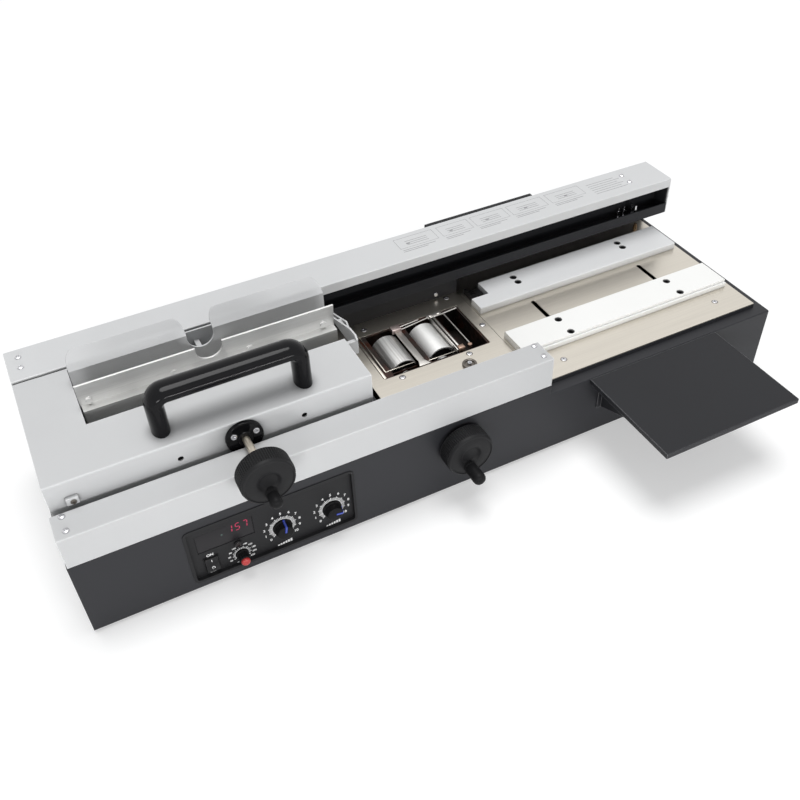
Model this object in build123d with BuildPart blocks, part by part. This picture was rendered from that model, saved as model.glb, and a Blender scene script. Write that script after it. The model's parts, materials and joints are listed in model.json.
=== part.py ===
from build123d import *
import os
from math import cos, radians, sin

# Thermal binding machine, millimetres. Working axes: X along the length from the left end,
# Y from the front face to the back, Z up from the underside of the base shell.
# Every node is moved by SHIFT on export, so the frame's origin is the middle of the footprint
# at the floor.

LENGTH = 920.0        # base, left end to right end
DEPTH = 281.0         # base, front face to back face
BASE_H = 107.6        # front panel top, left of the step
RIM_H = 93.75         # rim around the table well, right of the step
STEP_X = 576.0        # where the front panel steps down
BEAM_Z = 128.3        # underside of the rear rail beam
BEAM_TOP = 182.4      # top of the rear rail cover
BEAM_Y = 221.8        # front of the rear rail beam
TABLE_BACK = 266.0    # back of the table, under the beam
SHEET = 2.0           # base, carriage and channel sheet
SKIN = 1.5            # cover and deck sheet
DECK_Z = 100.2        # top of the table and tank plates
FOOT_H = 5.0
TRAY_REACH = 147.0    # side tray, out from the front face
BOX_BACK = 325.0      # back of the box behind the beam
BOX_X = (575.5, 750.3)
SHIFT = (-LENGTH / 2, -(BOX_BACK - TRAY_REACH) / 2, FOOT_H)

CARR_X0 = 4.0         # carriage box, left end
CARR_X1 = 362.4       # carriage box, right end
CARR_Y0 = 44.0        # carriage front face
CARR_Y1 = 219.7       # carriage back face
CARR_Z0 = 112.0       # carriage underside
CARR_Z1 = 180.2       # carriage top
WELL_X = 64.0         # left side of the clamp well
WELL_Y = 117.0        # front side of the clamp well
CLAMP_X = 210.6       # clamp screw axis
CLAMP_Z = 158.5
JAW_X0 = 66.0
JAW_X1 = 361.5
JAW_Z0 = 113.0
NOTCH_X = 212.5       # thumb notches of both jaws

WHEEL_R = 30.0
NIP_X = 451.5         # nip screw axis
NIP_Z = 72.0
SLOT_X = (654.0, 829.0)
SLIDE_Z = 79.0        # rods under the table

ROLLER_X = (445.0, 499.0)
ROLLER_Z = 80.25
ROLLER_R = 21.0
WELL_R = 22.3         # glue wells round the rollers
GEAR_R = 13.35
PANEL_Y = 4.0         # face of the recessed control panel
FIT = 0.05            # running clearance on the radius


def front(y):
    """Sketch plane whose local axes are X and Z, facing the front."""
    return Plane(origin=(0, y, 0), x_dir=(1, 0, 0), z_dir=(0, -1, 0))


def side(x):
    """Sketch plane whose local axes are Y and Z, facing the right."""
    return Plane(origin=(x, 0, 0), x_dir=(0, 1, 0), z_dir=(1, 0, 0))


def block(x0, x1, y0, y1, z0, z1, mode=Mode.ADD):
    with Locations(((x0 + x1) / 2, (y0 + y1) / 2, (z0 + z1) / 2)):
        Box(x1 - x0, y1 - y0, z1 - z0, mode=mode)


def prism_x(points, x0, x1, mode=Mode.ADD):
    with BuildSketch(side(x0)) as outline:
        with BuildLine():
            Polyline(*points, close=True)
        make_face()
    extrude(outline.sketch, amount=x1 - x0, mode=mode)


def prism_y(points, y0, y1, mode=Mode.ADD):
    with BuildSketch(front(y1)) as outline:
        with BuildLine():
            Polyline(*points, close=True)
        make_face()
    extrude(outline.sketch, amount=y1 - y0, mode=mode)


def prism_z(points, z0, z1, mode=Mode.ADD):
    with BuildSketch(Plane.XY.offset(z0)) as outline:
        with BuildLine():
            Polyline(*points, close=True)
        make_face()
    extrude(outline.sketch, amount=z1 - z0, mode=mode)


def rod_x(y, z, r, x0, x1, mode=Mode.ADD):
    with BuildSketch(side(x0)) as outline:
        with Locations((y, z)):
            Circle(r)
    extrude(outline.sketch, amount=x1 - x0, mode=mode)


def rod_y(x, z, r, y0, y1, mode=Mode.ADD):
    with BuildSketch(front(y1)) as outline:
        with Locations((x, z)):
            Circle(r)
    extrude(outline.sketch, amount=y1 - y0, mode=mode)


def rod_z(x, y, r, z0, z1, mode=Mode.ADD):
    with BuildSketch(Plane.XY.offset(z0)) as outline:
        with Locations((x, y)):
            Circle(r)
    extrude(outline.sketch, amount=z1 - z0, mode=mode)


def turned_y(points, x, z):
    """Turn a (radius, y) outline about the line through (x, z) along Y."""
    with BuildSketch(Plane(origin=(x, 0, z), x_dir=(1, 0, 0), z_dir=(0, 0, 1))) as outline:
        with BuildLine():
            Polyline(*points, close=True)
        make_face()
    revolve(outline.sketch, axis=Axis((x, 0, z), (0, 1, 0)))


def rounded_z(x0, x1, y0, y1, r, z0, z1, mode=Mode.ADD):
    with BuildSketch(Plane.XY.offset(z0)) as outline:
        with Locations(((x0 + x1) / 2, (y0 + y1) / 2)):
            RectangleRounded(x1 - x0, y1 - y0, r)
    extrude(outline.sketch, amount=z1 - z0, mode=mode)


def rounded_y(x0, x1, z0, z1, r, y0, y1, mode=Mode.ADD):
    with BuildSketch(front(y1)) as outline:
        with Locations(((x0 + x1) / 2, (z0 + z1) / 2)):
            RectangleRounded(x1 - x0, z1 - z0, r)
    extrude(outline.sketch, amount=y1 - y0, mode=mode)


def socket_screw(x, y, z, r, h):
    """Pan head with a hexagonal socket, standing on z."""
    rod_z(x, y, r, z, z + h)
    with BuildSketch(Plane.XY.offset(z + h)) as outline:
        with Locations((x, y)):
            RegularPolygon(r * 0.45, 6)
    extrude(outline.sketch, amount=-h * 0.55, mode=Mode.SUBTRACT)


# ---------------------------------------------------------------- base

with BuildPart() as base_shell:
    prism_y([(0, 0), (LENGTH, 0), (LENGTH, RIM_H), (STEP_X, RIM_H), (STEP_X, BASE_H), (0, BASE_H)],
            0, SHEET)
    for wall_x, wall_top, step_y in ((0, BASE_H, 231.5), (LENGTH - SHEET, RIM_H, TABLE_BACK)):
        prism_x([(0, 0), (DEPTH, 0), (DEPTH, BEAM_Z), (step_y, BEAM_Z), (step_y, wall_top), (0, wall_top)],
                wall_x, wall_x + SHEET)
    block(0, LENGTH, DEPTH - SHEET, DEPTH, 0, BEAM_Z)
    block(0, STEP_X, 0, 33.5, BASE_H - SHEET, BASE_H)
    block(0, 16, 0, 231.5, BASE_H - SHEET, BASE_H)
    block(STEP_X - SHEET, STEP_X, 0, 33.5, RIM_H - SHEET, BASE_H)
    block(STEP_X, LENGTH, 0, 30, RIM_H - SHEET, RIM_H)
    block(890, LENGTH, 0, TABLE_BACK, RIM_H - SHEET, RIM_H)
    block(0, LENGTH, 268, DEPTH, BEAM_Z - SHEET, BEAM_Z)
    block(389.5, STEP_X - SHEET, SHEET, 24, 96.7, 98.7)
    fillet(edges().filter_by(Axis.X).filter_by_position(Axis.Y, -0.01, 0.01)
           .filter_by_position(Axis.Z, 90, 110), 1.6)
    rounded_y(117, 312, 10.7, 92.2, 5, 0, SHEET, Mode.SUBTRACT)
    rod_y(NIP_X, NIP_Z, 7.0, 0, SHEET, Mode.SUBTRACT)
    block(56, 104, DEPTH - SHEET, DEPTH, 32, 60, Mode.SUBTRACT)
    for i in range(9):
        block(330 + 20 * i, 336 + 20 * i, DEPTH - SHEET, DEPTH, 24, 84, Mode.SUBTRACT)
        block(0, SHEET, 48 + 20 * i, 54 + 20 * i, 24, 84, Mode.SUBTRACT)

with BuildPart() as bottom_plate:
    block(SHEET, LENGTH - SHEET, SHEET, DEPTH - SHEET, 0, SKIN)
    for i in range(10):
        block(416 + 14 * i, 422 + 14 * i, 124, 194, 0, SKIN, Mode.SUBTRACT)

FOOT_XY = [(x, y) for x in (36, 551, 884) for y in (20, 261)]

with BuildPart() as feet:
    for foot_x, foot_y in FOOT_XY:
        rod_z(foot_x, foot_y, 10, -FOOT_H, 0)
    chamfer(edges().filter_by_position(Axis.Z, -FOOT_H - 0.01, -FOOT_H + 0.01), 1.4)

with BuildPart() as cross_frame:
    block(SHEET, STEP_X, 231.5, 233.5, 96.7, BEAM_Z)
    block(389.5, 575, 222, 231.5, 96.7, 98.7)
    block(SHEET, STEP_X, 233.5, 266, BEAM_Z - SHEET, BEAM_Z)
    block(STEP_X - SHEET, STEP_X, 233.5, TABLE_BACK + SHEET, 96.7, BEAM_Z - SHEET)
    block(STEP_X, LENGTH - SHEET, TABLE_BACK, TABLE_BACK + SHEET, RIM_H, BEAM_Z - SHEET)

# ---------------------------------------------------------------- front rail

with BuildPart() as front_rail_cover:
    block(1, STEP_X, 0, SKIN, BASE_H, 149.3)
    block(1, STEP_X, SKIN, 35.5, 147.8, 149.3)
    block(1, STEP_X, 34, 35.5, 141.8, 147.8)
    block(1, 1 + SKIN, SKIN, 35.5, BASE_H, 147.8)
    block(STEP_X - SKIN, STEP_X, SKIN, 35.5, BASE_H, 147.8)
    fillet(edges().filter_by(Axis.X).filter_by_position(Axis.Y, -0.01, 0.01)
           .filter_by_position(Axis.Z, 149, 150), 1.3)

with BuildPart() as front_rail:
    rod_x(16, 127, 6, 11, 567.5)
    block(4, 11, 8, 24, BASE_H, 143)
    block(4, 20, 6, 33, 143, 147.8)
    block(567.5, 574.5, 8, 24, BASE_H, 143)
    block(559, 574.5, 6, 33, 143, 147.8)

# ---------------------------------------------------------------- rear rail beam

with BuildPart() as rear_rail_channel:
    prism_x([(BEAM_Y, BEAM_Z), (279.4, BEAM_Z), (279.4, BEAM_Z + SHEET), (248.8, BEAM_Z + SHEET),
             (248.8, 178.9), (279.4, 178.9), (279.4, 180.9), (246.8, 180.9), (246.8, BEAM_Z + SHEET),
             (BEAM_Y + SHEET, BEAM_Z + SHEET), (BEAM_Y + SHEET, 143.5), (BEAM_Y, 143.5)],
            5.5, LENGTH - SKIN)
    block(5.5, 7.5, BEAM_Y + SHEET, 246.8, BEAM_Z + SHEET, 180.9)
    block(7.5, 14, 229, 246.8, 163, 179)
    block(LENGTH - SKIN - SHEET, LENGTH - SKIN, BEAM_Y + SHEET, 246.8, BEAM_Z + SHEET, 180.9)
    block(908.5, LENGTH - SKIN - SHEET, 229, 246.8, 163, 179)

with BuildPart() as rear_rail_cover:
    prism_x([(BEAM_Y, 169.3), (BEAM_Y + SKIN, 169.3), (BEAM_Y + SKIN, 180.9), (279.4, 180.9),
             (279.4, BEAM_Z), (280.9, BEAM_Z), (280.9, BEAM_TOP), (BEAM_Y, BEAM_TOP)], 4, LENGTH)
    block(4, 5.5, BEAM_Y + SKIN, 279.4, BEAM_Z, 180.9)
    block(LENGTH - SKIN, LENGTH, BEAM_Y, BEAM_Y + SKIN, BEAM_Z, 169.3)
    block(LENGTH - SKIN, LENGTH, BEAM_Y + SKIN, 279.4, BEAM_Z, 180.9)
    fillet(edges().filter_by(Axis.X).filter_by_position(Axis.Z, BEAM_TOP - 0.01, BEAM_TOP + 0.01), 1.3)

with BuildPart() as rear_rail:
    rod_x(235.5, 171, 4, 14, 908.5)
    block(864.5, 867, 225, 246.8, BEAM_Z + SHEET, 152)
    block(867, 881, 225, 246.8, BEAM_Z + SHEET, BEAM_Z + 4)
    socket_screw(874, 231, BEAM_Z + 4, 3.2, 2.6)
    socket_screw(874, 241, BEAM_Z + 4, 3.2, 2.6)

with BuildPart() as rear_box:
    block(BOX_X[0], BOX_X[1], DEPTH, BOX_BACK, 60, 156)
    block(BOX_X[0] + SKIN, BOX_X[1] - SKIN, DEPTH, BOX_BACK - SKIN, 60 + SKIN, 156 - SKIN, Mode.SUBTRACT)
    for i in range(8):
        block(594 + 18 * i, 600 + 18 * i, BOX_BACK - SKIN, BOX_BACK, 78, 138, Mode.SUBTRACT)
    fillet(edges().filter_by(Axis.Z).filter_by_position(Axis.Y, BOX_BACK - 0.01, BOX_BACK + 0.01)
           .filter_by_position(Axis.X, BOX_X[0] - 1, BOX_X[0] + 1), 1.2)

# ---------------------------------------------------------------- loading deck

with BuildPart() as loading_deck:
    prism_x([(60, SKIN), (62, SKIN), (62, 94), (220, 94), (220, SKIN), (222, SKIN), (222, 96), (60, 96)],
            30, 386)

with BuildPart() as loading_platen:
    prism_x([(150, 96), (186, 96), (186, DECK_Z), (172, DECK_Z), (168, 98.4), (164, DECK_Z),
             (150, DECK_Z)], 62, 366)

# ---------------------------------------------------------------- glue station

with BuildPart() as glue_tank:
    block(404, 563, 105, 212, 50, 98.7)
    for axis_x in ROLLER_X:
        rod_y(axis_x, ROLLER_Z, WELL_R, 116, 201, Mode.SUBTRACT)
        block(axis_x - WELL_R, axis_x + WELL_R, 116, 201, ROLLER_Z, 98.7, Mode.SUBTRACT)
    block(524, 557, 116, 201, 62, 98.7, Mode.SUBTRACT)
    for axis_x, baffle_y in zip(ROLLER_X, (128.5, 125)):
        block(axis_x - WELL_R, axis_x + WELL_R, baffle_y, baffle_y + 1.5, 60, 90)
        rod_y(axis_x, ROLLER_Z, 5 + FIT, 105, 212, Mode.SUBTRACT)

with BuildPart() as tank_heater:
    block(412, 555, 112, 205, 42, 50)
    for bar_y in (140, 177):
        rod_x(bar_y, 46, 3.9, 404, 412)
        rod_x(bar_y, 46, 3.9, 555, 563)
    block(412, 555, 112, 114, SKIN, 42)
    block(412, 555, 203, 205, SKIN, 42)

with BuildPart() as tank_cover_plate:
    block(389.5, 573.5, 22, 231.5, 98.7, DECK_Z)
    block(573.5, 575.5, 34, 231.5, 98.7, DECK_Z)
    rounded_z(408, 559.5, 113.5, 203.3, 3, 98.7, DECK_Z, Mode.SUBTRACT)

with BuildPart() as tank_divider:
    block(457.5, 470, 114, 203, 98.7, 101.2)
    block(457.5, 472, 188, 200, 101.2, 106)
    rod_x(196, 103.4, 1.6, 472, 556)
    block(552, 556, 193, 202.5, 98.7, 105.2)

with BuildPart() as glue_scraper:
    block(513.5, 520, 114, 192, 98.7, 101.2)
    prism_y([(510, 101.2), (520, 101.2), (520, 103), (513, 103)], 124, 187)
    for clip_y in (130, 178):
        block(517, 521.5, clip_y, clip_y + 5, 103, 107)
    rod_y(540, 99.5, 1.5, 134, 193)
    rod_z(540, 134, 1.5, 62, 99.5)
    rod_z(540, 193, 1.5, 62, 99.5)

with BuildPart() as drive_motor:
    rod_y(ROLLER_X[0] + 27, ROLLER_Z, 23, 234.5, 274)
    rod_y(ROLLER_X[0] + 27, ROLLER_Z, 3 + FIT, 234.5, 242, Mode.SUBTRACT)
    block(450, 481, 240, 268, SKIN, 60)
    fillet(edges().filter_by_position(Axis.Y, 273.9, 274.1), 3)

with BuildPart() as drive_pinion:
    turned_y([(0, 215), (GEAR_R, 215), (GEAR_R, 223), (3, 223), (3, 240), (0, 240)],
             ROLLER_X[0] + 27, ROLLER_Z)
    for i in range(16):
        rod_y(ROLLER_X[0] + 27 + GEAR_R * cos(radians(22.5 * i)), ROLLER_Z + GEAR_R * sin(radians(22.5 * i)),
              1.1, 215, 223, Mode.SUBTRACT)


def glue_roller(x):
    turned_y([(0, 107), (5, 107), (5, 137), (17.5, 138), (18.5, 133), (ROLLER_R, 133), (ROLLER_R, 190),
              (18.5, 190), (17.5, 185), (5, 186), (5, 214), (0, 214)],
             x, ROLLER_Z)


def roller_gear(x):
    turned_y([(0, 214), (5, 214), (5, 215), (GEAR_R, 215), (GEAR_R, 223), (6, 223), (6, 226), (0, 226)],
             x, ROLLER_Z)
    for i in range(16):
        rod_y(x + GEAR_R * cos(radians(22.5 * i + 11.25)), ROLLER_Z + GEAR_R * sin(radians(22.5 * i + 11.25)),
              1.1, 215, 223, Mode.SUBTRACT)


with BuildPart() as roller_left:
    glue_roller(ROLLER_X[0])

with BuildPart() as roller_right:
    glue_roller(ROLLER_X[1])

with BuildPart() as gear_left:
    roller_gear(ROLLER_X[0])

with BuildPart() as gear_right:
    roller_gear(ROLLER_X[1])

# ---------------------------------------------------------------- nip table

with BuildPart() as table_plinth:
    block(576.5, 907, 15.7, TABLE_BACK, 93.75, 98.7)
    block(578, 905.5, 17.2, TABLE_BACK, 93.75, 97.2, Mode.SUBTRACT)
    for slot_x in SLOT_X:
        rounded_z(slot_x - 6, slot_x + 6, 66, 166, 5.9, 97.2, 98.7, Mode.SUBTRACT)

with BuildPart() as table_plate:
    block(576, 907, 16, TABLE_BACK, 98.7, DECK_Z)
    for slot_x in SLOT_X:
        rounded_z(slot_x - 3, slot_x + 3, 68, 163, 2.95, 98.7, DECK_Z, Mode.SUBTRACT)

NIP_HOLES = [(x, y) for x in SLOT_X for y in (73.4, 101.8)]
REAR_HOLES = [(x, y) for x in (653.5, 828.5) for y in (198.5, 211)]

with BuildPart() as rear_nip_plate:
    prism_z([(578.5, 171), (900, 171), (900, 223), (604.5, 223), (604.5, 195), (578.5, 195)], DECK_Z, 110)
    chamfer(edges().filter_by(Axis.X).filter_by_position(Axis.Y, 170.9, 171.1)
            .filter_by_position(Axis.Z, 109.9, 110.1), 1.2)
    for hole_x, hole_y in REAR_HOLES:
        rod_z(hole_x, hole_y, 4.9, 105.5, 110, Mode.SUBTRACT)

with BuildPart() as nip_bracket:
    block(582, 604, 196, 222, DECK_Z, DECK_Z + 2)
    block(582, 584, 196, 222, DECK_Z + 2, 107)
    socket_screw(592.5, 202, DECK_Z + 2, 3.2, 2.6)
    socket_screw(592.5, 215, DECK_Z + 2, 3.2, 2.6)

with BuildPart() as lay_stop:
    rod_z(884, 241, 3.2, DECK_Z, 106)
    rod_z(884, 241, 2.2, 106, 109)

with BuildPart() as nip_guides:
    for slot_x in SLOT_X:
        rod_y(slot_x, SLIDE_Z, 5, 14, 216)
        block(slot_x - 12, slot_x + 12, 8, 14, 66, RIM_H - SHEET)
        block(slot_x - 12, slot_x + 12, 216, 222, 66, 97.2)
    block(NIP_X - 10, NIP_X + 10, 96, 102, SKIN, 84)
    rod_y(NIP_X, NIP_Z, 5 + FIT, 96, 102, Mode.SUBTRACT)
    turned_y([(5 + FIT, -2), (10, -2), (10, 0), (6.9, 0), (6.9, 6), (5 + FIT, 6)], NIP_X, NIP_Z)

with BuildPart() as front_nip_plate:
    prism_x([(64, DECK_Z + 0.2), (114, DECK_Z + 0.2), (114, 108.8), (112.8, 110), (67, 110), (67, 106.5),
             (64, 106.5)], 580, 900)
    for hole_x, hole_y in NIP_HOLES:
        rod_z(hole_x, hole_y, 2.6, DECK_Z + 0.2, 110, Mode.SUBTRACT)
        rod_z(hole_x, hole_y, 4.9, 105.5, 110, Mode.SUBTRACT)

with BuildPart() as nip_screws:
    for hole_x, hole_y in NIP_HOLES:
        rod_z(hole_x, hole_y, 2.5, 96.5, 105.5)
        socket_screw(hole_x, hole_y, 105.5, 4.7, 4.2)

with BuildPart() as nip_slide:
    block(NIP_X - 12, NIP_X + 12, 20, 36, 60, 84)
    block(NIP_X + 12, 842, 24, 36, 60, 72)
    for slot_x in SLOT_X:
        block(slot_x - 10, slot_x + 10, 36, 114, 60, 72)
        block(slot_x - 10, slot_x + 10, 64, 114, 72, 96.5)
        rod_y(slot_x, SLIDE_Z, 5 + FIT, 64, 114, Mode.SUBTRACT)
    rod_y(NIP_X, NIP_Z, 5 + FIT, 20, 36, Mode.SUBTRACT)


def handwheel(x, z, y_front, y_back, pin_x, pin_z, pin_reach):
    """Dished wheel with a scalloped rim and the pin its grip turns on."""
    turned_y([(0, y_back), (10, y_back), (10, y_back - 3), (WHEEL_R - 1.2, y_back - 3),
              (WHEEL_R, y_back - 4.2), (WHEEL_R, y_front + 1.2), (WHEEL_R - 1.2, y_front), (26.5, y_front),
              (24, y_front + 2.2), (9.5, y_front + 2.2), (8.5, y_front + 6.5), (0, y_front + 6.5)], x, z)
    for i in range(20):
        rod_y(x + (WHEEL_R + 1.1) * cos(radians(18 * i)), z + (WHEEL_R + 1.1) * sin(radians(18 * i)), 2.2,
              y_front, y_back, Mode.SUBTRACT)
    rod_y(pin_x, pin_z, 2.5, y_front - pin_reach, y_front + 9)


def grip_handle(x, z, y_tip, y_root, r):
    """Barrel grip with a blind bore for its pin."""
    turned_y([(0, y_tip), (r - 2.5, y_tip), (r, y_tip + 3), (r, y_tip + 8), (r - 1.4, y_root - 3),
              (r - 1.4, y_root), (2.5 + FIT, y_root), (2.5 + FIT, y_tip + 4), (0, y_tip + 4)], x, z)


NIP_PIN = (NIP_X - 2.5, NIP_Z - 16)

with BuildPart() as nip_wheel:
    handwheel(NIP_X, NIP_Z, -26.8, -2.3, NIP_PIN[0], NIP_PIN[1], 23)

with BuildPart() as nip_spindle:
    rod_y(NIP_X, NIP_Z, 5, -2.3, 104)

with BuildPart() as nip_grip:
    grip_handle(NIP_PIN[0], NIP_PIN[1], -55, -27.1, 8.0)

# ---------------------------------------------------------------- control panel

DIALS = ((173.5, 24.5), (224.1, 42.3), (284.6, 41.1))
KNOB_TIP = -8.0
ROCKER_X = (131.4, 146.4)
ROCKER_YZ = (8.0, 28.25)
ROCKER_TILT = radians(-11)
WINDOW_Z = (49.8, 78.0)
LAMP_XZ = (171.2, 45.0)


def tilted(points):
    """Turn (y, z) points about the rocker's pivot, top edge pressed in."""
    dy_dz = [(y - ROCKER_YZ[0], z - ROCKER_YZ[1]) for y, z in points]
    return [(ROCKER_YZ[0] + dy * cos(ROCKER_TILT) - dz * sin(ROCKER_TILT),
             ROCKER_YZ[1] + dy * sin(ROCKER_TILT) + dz * cos(ROCKER_TILT)) for dy, dz in dy_dz]


with BuildPart() as control_panel:
    rounded_y(115, 314, 8.7, 94.2, 7, -1, 0)
    rounded_y(117.2, 311.8, 10.9, 92, 4.8, 0, PANEL_Y + 2)
    rounded_y(118.5, 310.5, 12.2, 90.7, 4, -1, PANEL_Y, Mode.SUBTRACT)
    block(126.9, 192.4, PANEL_Y, PANEL_Y + 2, WINDOW_Z[0], WINDOW_Z[1], Mode.SUBTRACT)
    block(131, 146.8, PANEL_Y, PANEL_Y + 2, ROCKER_YZ[1] - 10.85, ROCKER_YZ[1] + 10.85, Mode.SUBTRACT)
    rod_y(LAMP_XZ[0], LAMP_XZ[1], 4.2, 1, PANEL_Y)
    for dial_x, dial_z in DIALS:
        rod_y(dial_x, dial_z, 3 + FIT, PANEL_Y, PANEL_Y + 2, Mode.SUBTRACT)

with BuildPart() as display_module:
    block(123, 196, 6, 20, WINDOW_Z[0] - 3, WINDOW_Z[1] + 3)
    block(127.3, 192, 4.6, 6, WINDOW_Z[0] + 0.4, WINDOW_Z[1] - 0.4)

with BuildPart() as control_bodies:
    block(129, 148.8, 6, 26, ROCKER_YZ[1] - 13.25, ROCKER_YZ[1] + 13.25)
    block(130.9, 146.9, 6, 18, ROCKER_YZ[1] - 11.25, ROCKER_YZ[1] + 11.25, Mode.SUBTRACT)
    rod_x(ROCKER_YZ[0], ROCKER_YZ[1], 1.5 + FIT, 129, 148.8, Mode.SUBTRACT)
    for dial_x, dial_z in DIALS:
        rod_y(dial_x, dial_z, 8, 6, 20)
        rod_y(dial_x, dial_z, 3 + FIT, 6, 12, Mode.SUBTRACT)

with BuildPart() as rocker_switch:
    prism_x(tilted([(rocker_y, ROCKER_YZ[1] + rise) for rocker_y, rise in (
        (-0.2, -9.15), (3.2, -9.15), (8, -5.95), (12, -4.75), (12, 4.75), (8, 5.95), (3.2, 9.15),
        (-0.2, 9.15), (1.6, 0))]), ROCKER_X[0], ROCKER_X[1])
    rod_x(ROCKER_YZ[0], ROCKER_YZ[1], 1.5, 129.4, 148.4)


def dial_knob(x, z, y_tip, base_r, tip_r, flutes):
    """Knob with a skirt, a tapered and fluted grip and its shaft."""
    turned_y([(0, y_tip), (tip_r - 1, y_tip), (tip_r, y_tip + 0.9), (base_r, 1.6), (base_r + 1, 1.6),
              (base_r + 1, 3.4), (3, 3.4), (3, 11), (0, 11)], x, z)
    for i in range(flutes):
        turn = radians(360 / flutes * (i + 0.5))
        rod_y(x + (base_r + 1) * cos(turn), z + (base_r + 1) * sin(turn), 1.5, y_tip, 1.6, Mode.SUBTRACT)


def pointer_rib(x, z, y_tip, base_r, turn):
    """Raised line from the middle of the knob's face to its skirt."""
    along = Vector(cos(radians(turn)), sin(radians(turn)))
    across = Vector(-along.Y, along.X) * 0.9
    for start, end, y0, y1 in ((1.5, base_r, y_tip - 0.4, y_tip + 2), (base_r - 2, base_r + 0.7, y_tip + 1, 2)):
        prism_y([(x + spot.X, z + spot.Y) for spot in (along * start - across, along * end - across,
                                                     along * end + across, along * start + across)], y0, y1)


with BuildPart() as thermostat_knob:
    dial_knob(DIALS[0][0], DIALS[0][1], KNOB_TIP, 6.4, 6.0, 12)
    turned_y([(0, -12), (3.8, -12), (5.2, -11.2), (5.7, -9.8), (5.7, -8), (0, -8)], DIALS[0][0], DIALS[0][1])

with BuildPart() as speed_knob:
    dial_knob(DIALS[1][0], DIALS[1][1], KNOB_TIP, 10.6, 9.4, 18)
    pointer_rib(DIALS[1][0], DIALS[1][1], KNOB_TIP, 10.6, 80)

with BuildPart() as timer_knob:
    dial_knob(DIALS[2][0], DIALS[2][1], KNOB_TIP, 10.6, 9.4, 18)
    pointer_rib(DIALS[2][0], DIALS[2][1], KNOB_TIP, 10.6, -10)

with BuildPart() as control_board:
    block(120, 310, 44, 45.6, SKIN, 92)
    block(150, 200, 45.6, 58, 8, 54)
    block(230, 262, 45.6, 56, 20, 44)

with BuildPart() as power_inlet:
    block(56, 104, 262, DEPTH, 32, 60)
    block(52, 108, DEPTH, DEPTH + 2.5, 28, 64)
    rounded_y(64, 96, 36, 56, 4, 268, DEPTH + 2.5, Mode.SUBTRACT)
    for pin_x, pin_z in ((72, 43), (80, 49), (88, 43)):
        block(pin_x - 2, pin_x + 2, 268, 276, pin_z - 1, pin_z + 1)

# ---------------------------------------------------------------- side tray

with BuildPart() as side_tray:
    block(634, 829, -TRAY_REACH, 0, 91.5, 93)
    block(634, 829, -TRAY_REACH, -TRAY_REACH + SKIN, 86, 91.5)
    block(634, 635.5, -TRAY_REACH + SKIN, 0, 86, 91.5)
    block(827.5, 829, -TRAY_REACH + SKIN, 0, 86, 91.5)
    for gusset_x in (655, 806):
        prism_x([(-2, 40), (-2, 91.5), (-118, 91.5), (-118, 86)], gusset_x, gusset_x + 2)
        block(gusset_x - 6, gusset_x + 8, -2, 0, 40, 91.5)
    fillet(edges().filter_by(Axis.X).filter_by_position(Axis.Y, -TRAY_REACH - 0.01, -TRAY_REACH + 0.01)
           .filter_by_position(Axis.Z, 92.9, 93.1), 1.2)

# ---------------------------------------------------------------- fixed screws

COVER_SCREWS = [(13, 30.5, 149.3), (13, 10, 149.3), (568, 31, 149.3), (568, 10, 149.3),
                (18.8, 264, BEAM_TOP), (18.4, 244, BEAM_TOP), (863.5, 263, BEAM_TOP), (862.7, 243.4, BEAM_TOP)]
DECK_SCREWS = [(427.4, 215, DECK_Z), (556, 224.7, DECK_Z), (569, 150, DECK_Z), (524.6, 107, DECK_Z),
               (429.9, 107, DECK_Z), (515, 88, DECK_Z), (864.5, 43.4, DECK_Z), (622, 40.6, DECK_Z)]

with BuildPart() as fixed_screws:
    for screw_x, screw_y, screw_z in COVER_SCREWS:
        rod_z(screw_x, screw_y, 3.6, screw_z, screw_z + 1.8)
    for screw_x, screw_y, screw_z in DECK_SCREWS:
        rod_z(screw_x, screw_y, 3.6, screw_z, screw_z + 2.2)
    for hole_x, hole_y in REAR_HOLES:
        rod_z(hole_x, hole_y, 4.6, 105.5, 109.6)
    rod_y(543, 107, 3.2, 229.2, 231.5)
    rod_y(660, 49.5, 2.6, -4.4, -2)
    rod_y(811, 49.5, 2.6, -4.4, -2)

# ---------------------------------------------------------------- carriage

with BuildPart() as carriage_housing:
    block(CARR_X0, CARR_X1, CARR_Y0, CARR_Y1, CARR_Z0, CARR_Z1)
    block(WELL_X, CARR_X1, WELL_Y, CARR_Y1 - SHEET, CARR_Z0, CARR_Z1, Mode.SUBTRACT)
    block(CARR_X0 + SHEET, CARR_X1 - SHEET, CARR_Y0 + SHEET, WELL_Y - SHEET, CARR_Z0, CARR_Z1 - SHEET,
          Mode.SUBTRACT)
    block(CARR_X0 + SHEET, WELL_X - SHEET, WELL_Y - SHEET, CARR_Y1 - SHEET, CARR_Z0, CARR_Z1 - SHEET,
          Mode.SUBTRACT)
    fillet(edges().filter_by(Axis.X).filter_by_position(Axis.Y, CARR_Y0 - 0.01, CARR_Y0 + 0.01)
           .filter_by_position(Axis.Z, CARR_Z1 - 0.01, CARR_Z1 + 0.01), 1.8)
    rod_y(CLAMP_X, CLAMP_Z, 6.2, CARR_Y0, CARR_Y0 + SHEET, Mode.SUBTRACT)
    rod_y(CLAMP_X, CLAMP_Z, 10.5, WELL_Y - SHEET, WELL_Y, Mode.SUBTRACT)
    for hole_x, hole_z in ((140.9, 156.7), (280.2, 156.5)):
        rod_y(hole_x, hole_z, 3.3, CARR_Y0, CARR_Y0 + SHEET, Mode.SUBTRACT)
    for rod_at in (110, 310):
        rod_y(rod_at, 140, 8, 103, WELL_Y - SHEET)
        rod_y(rod_at, 140, 5 + FIT, 103, WELL_Y, Mode.SUBTRACT)

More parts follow.
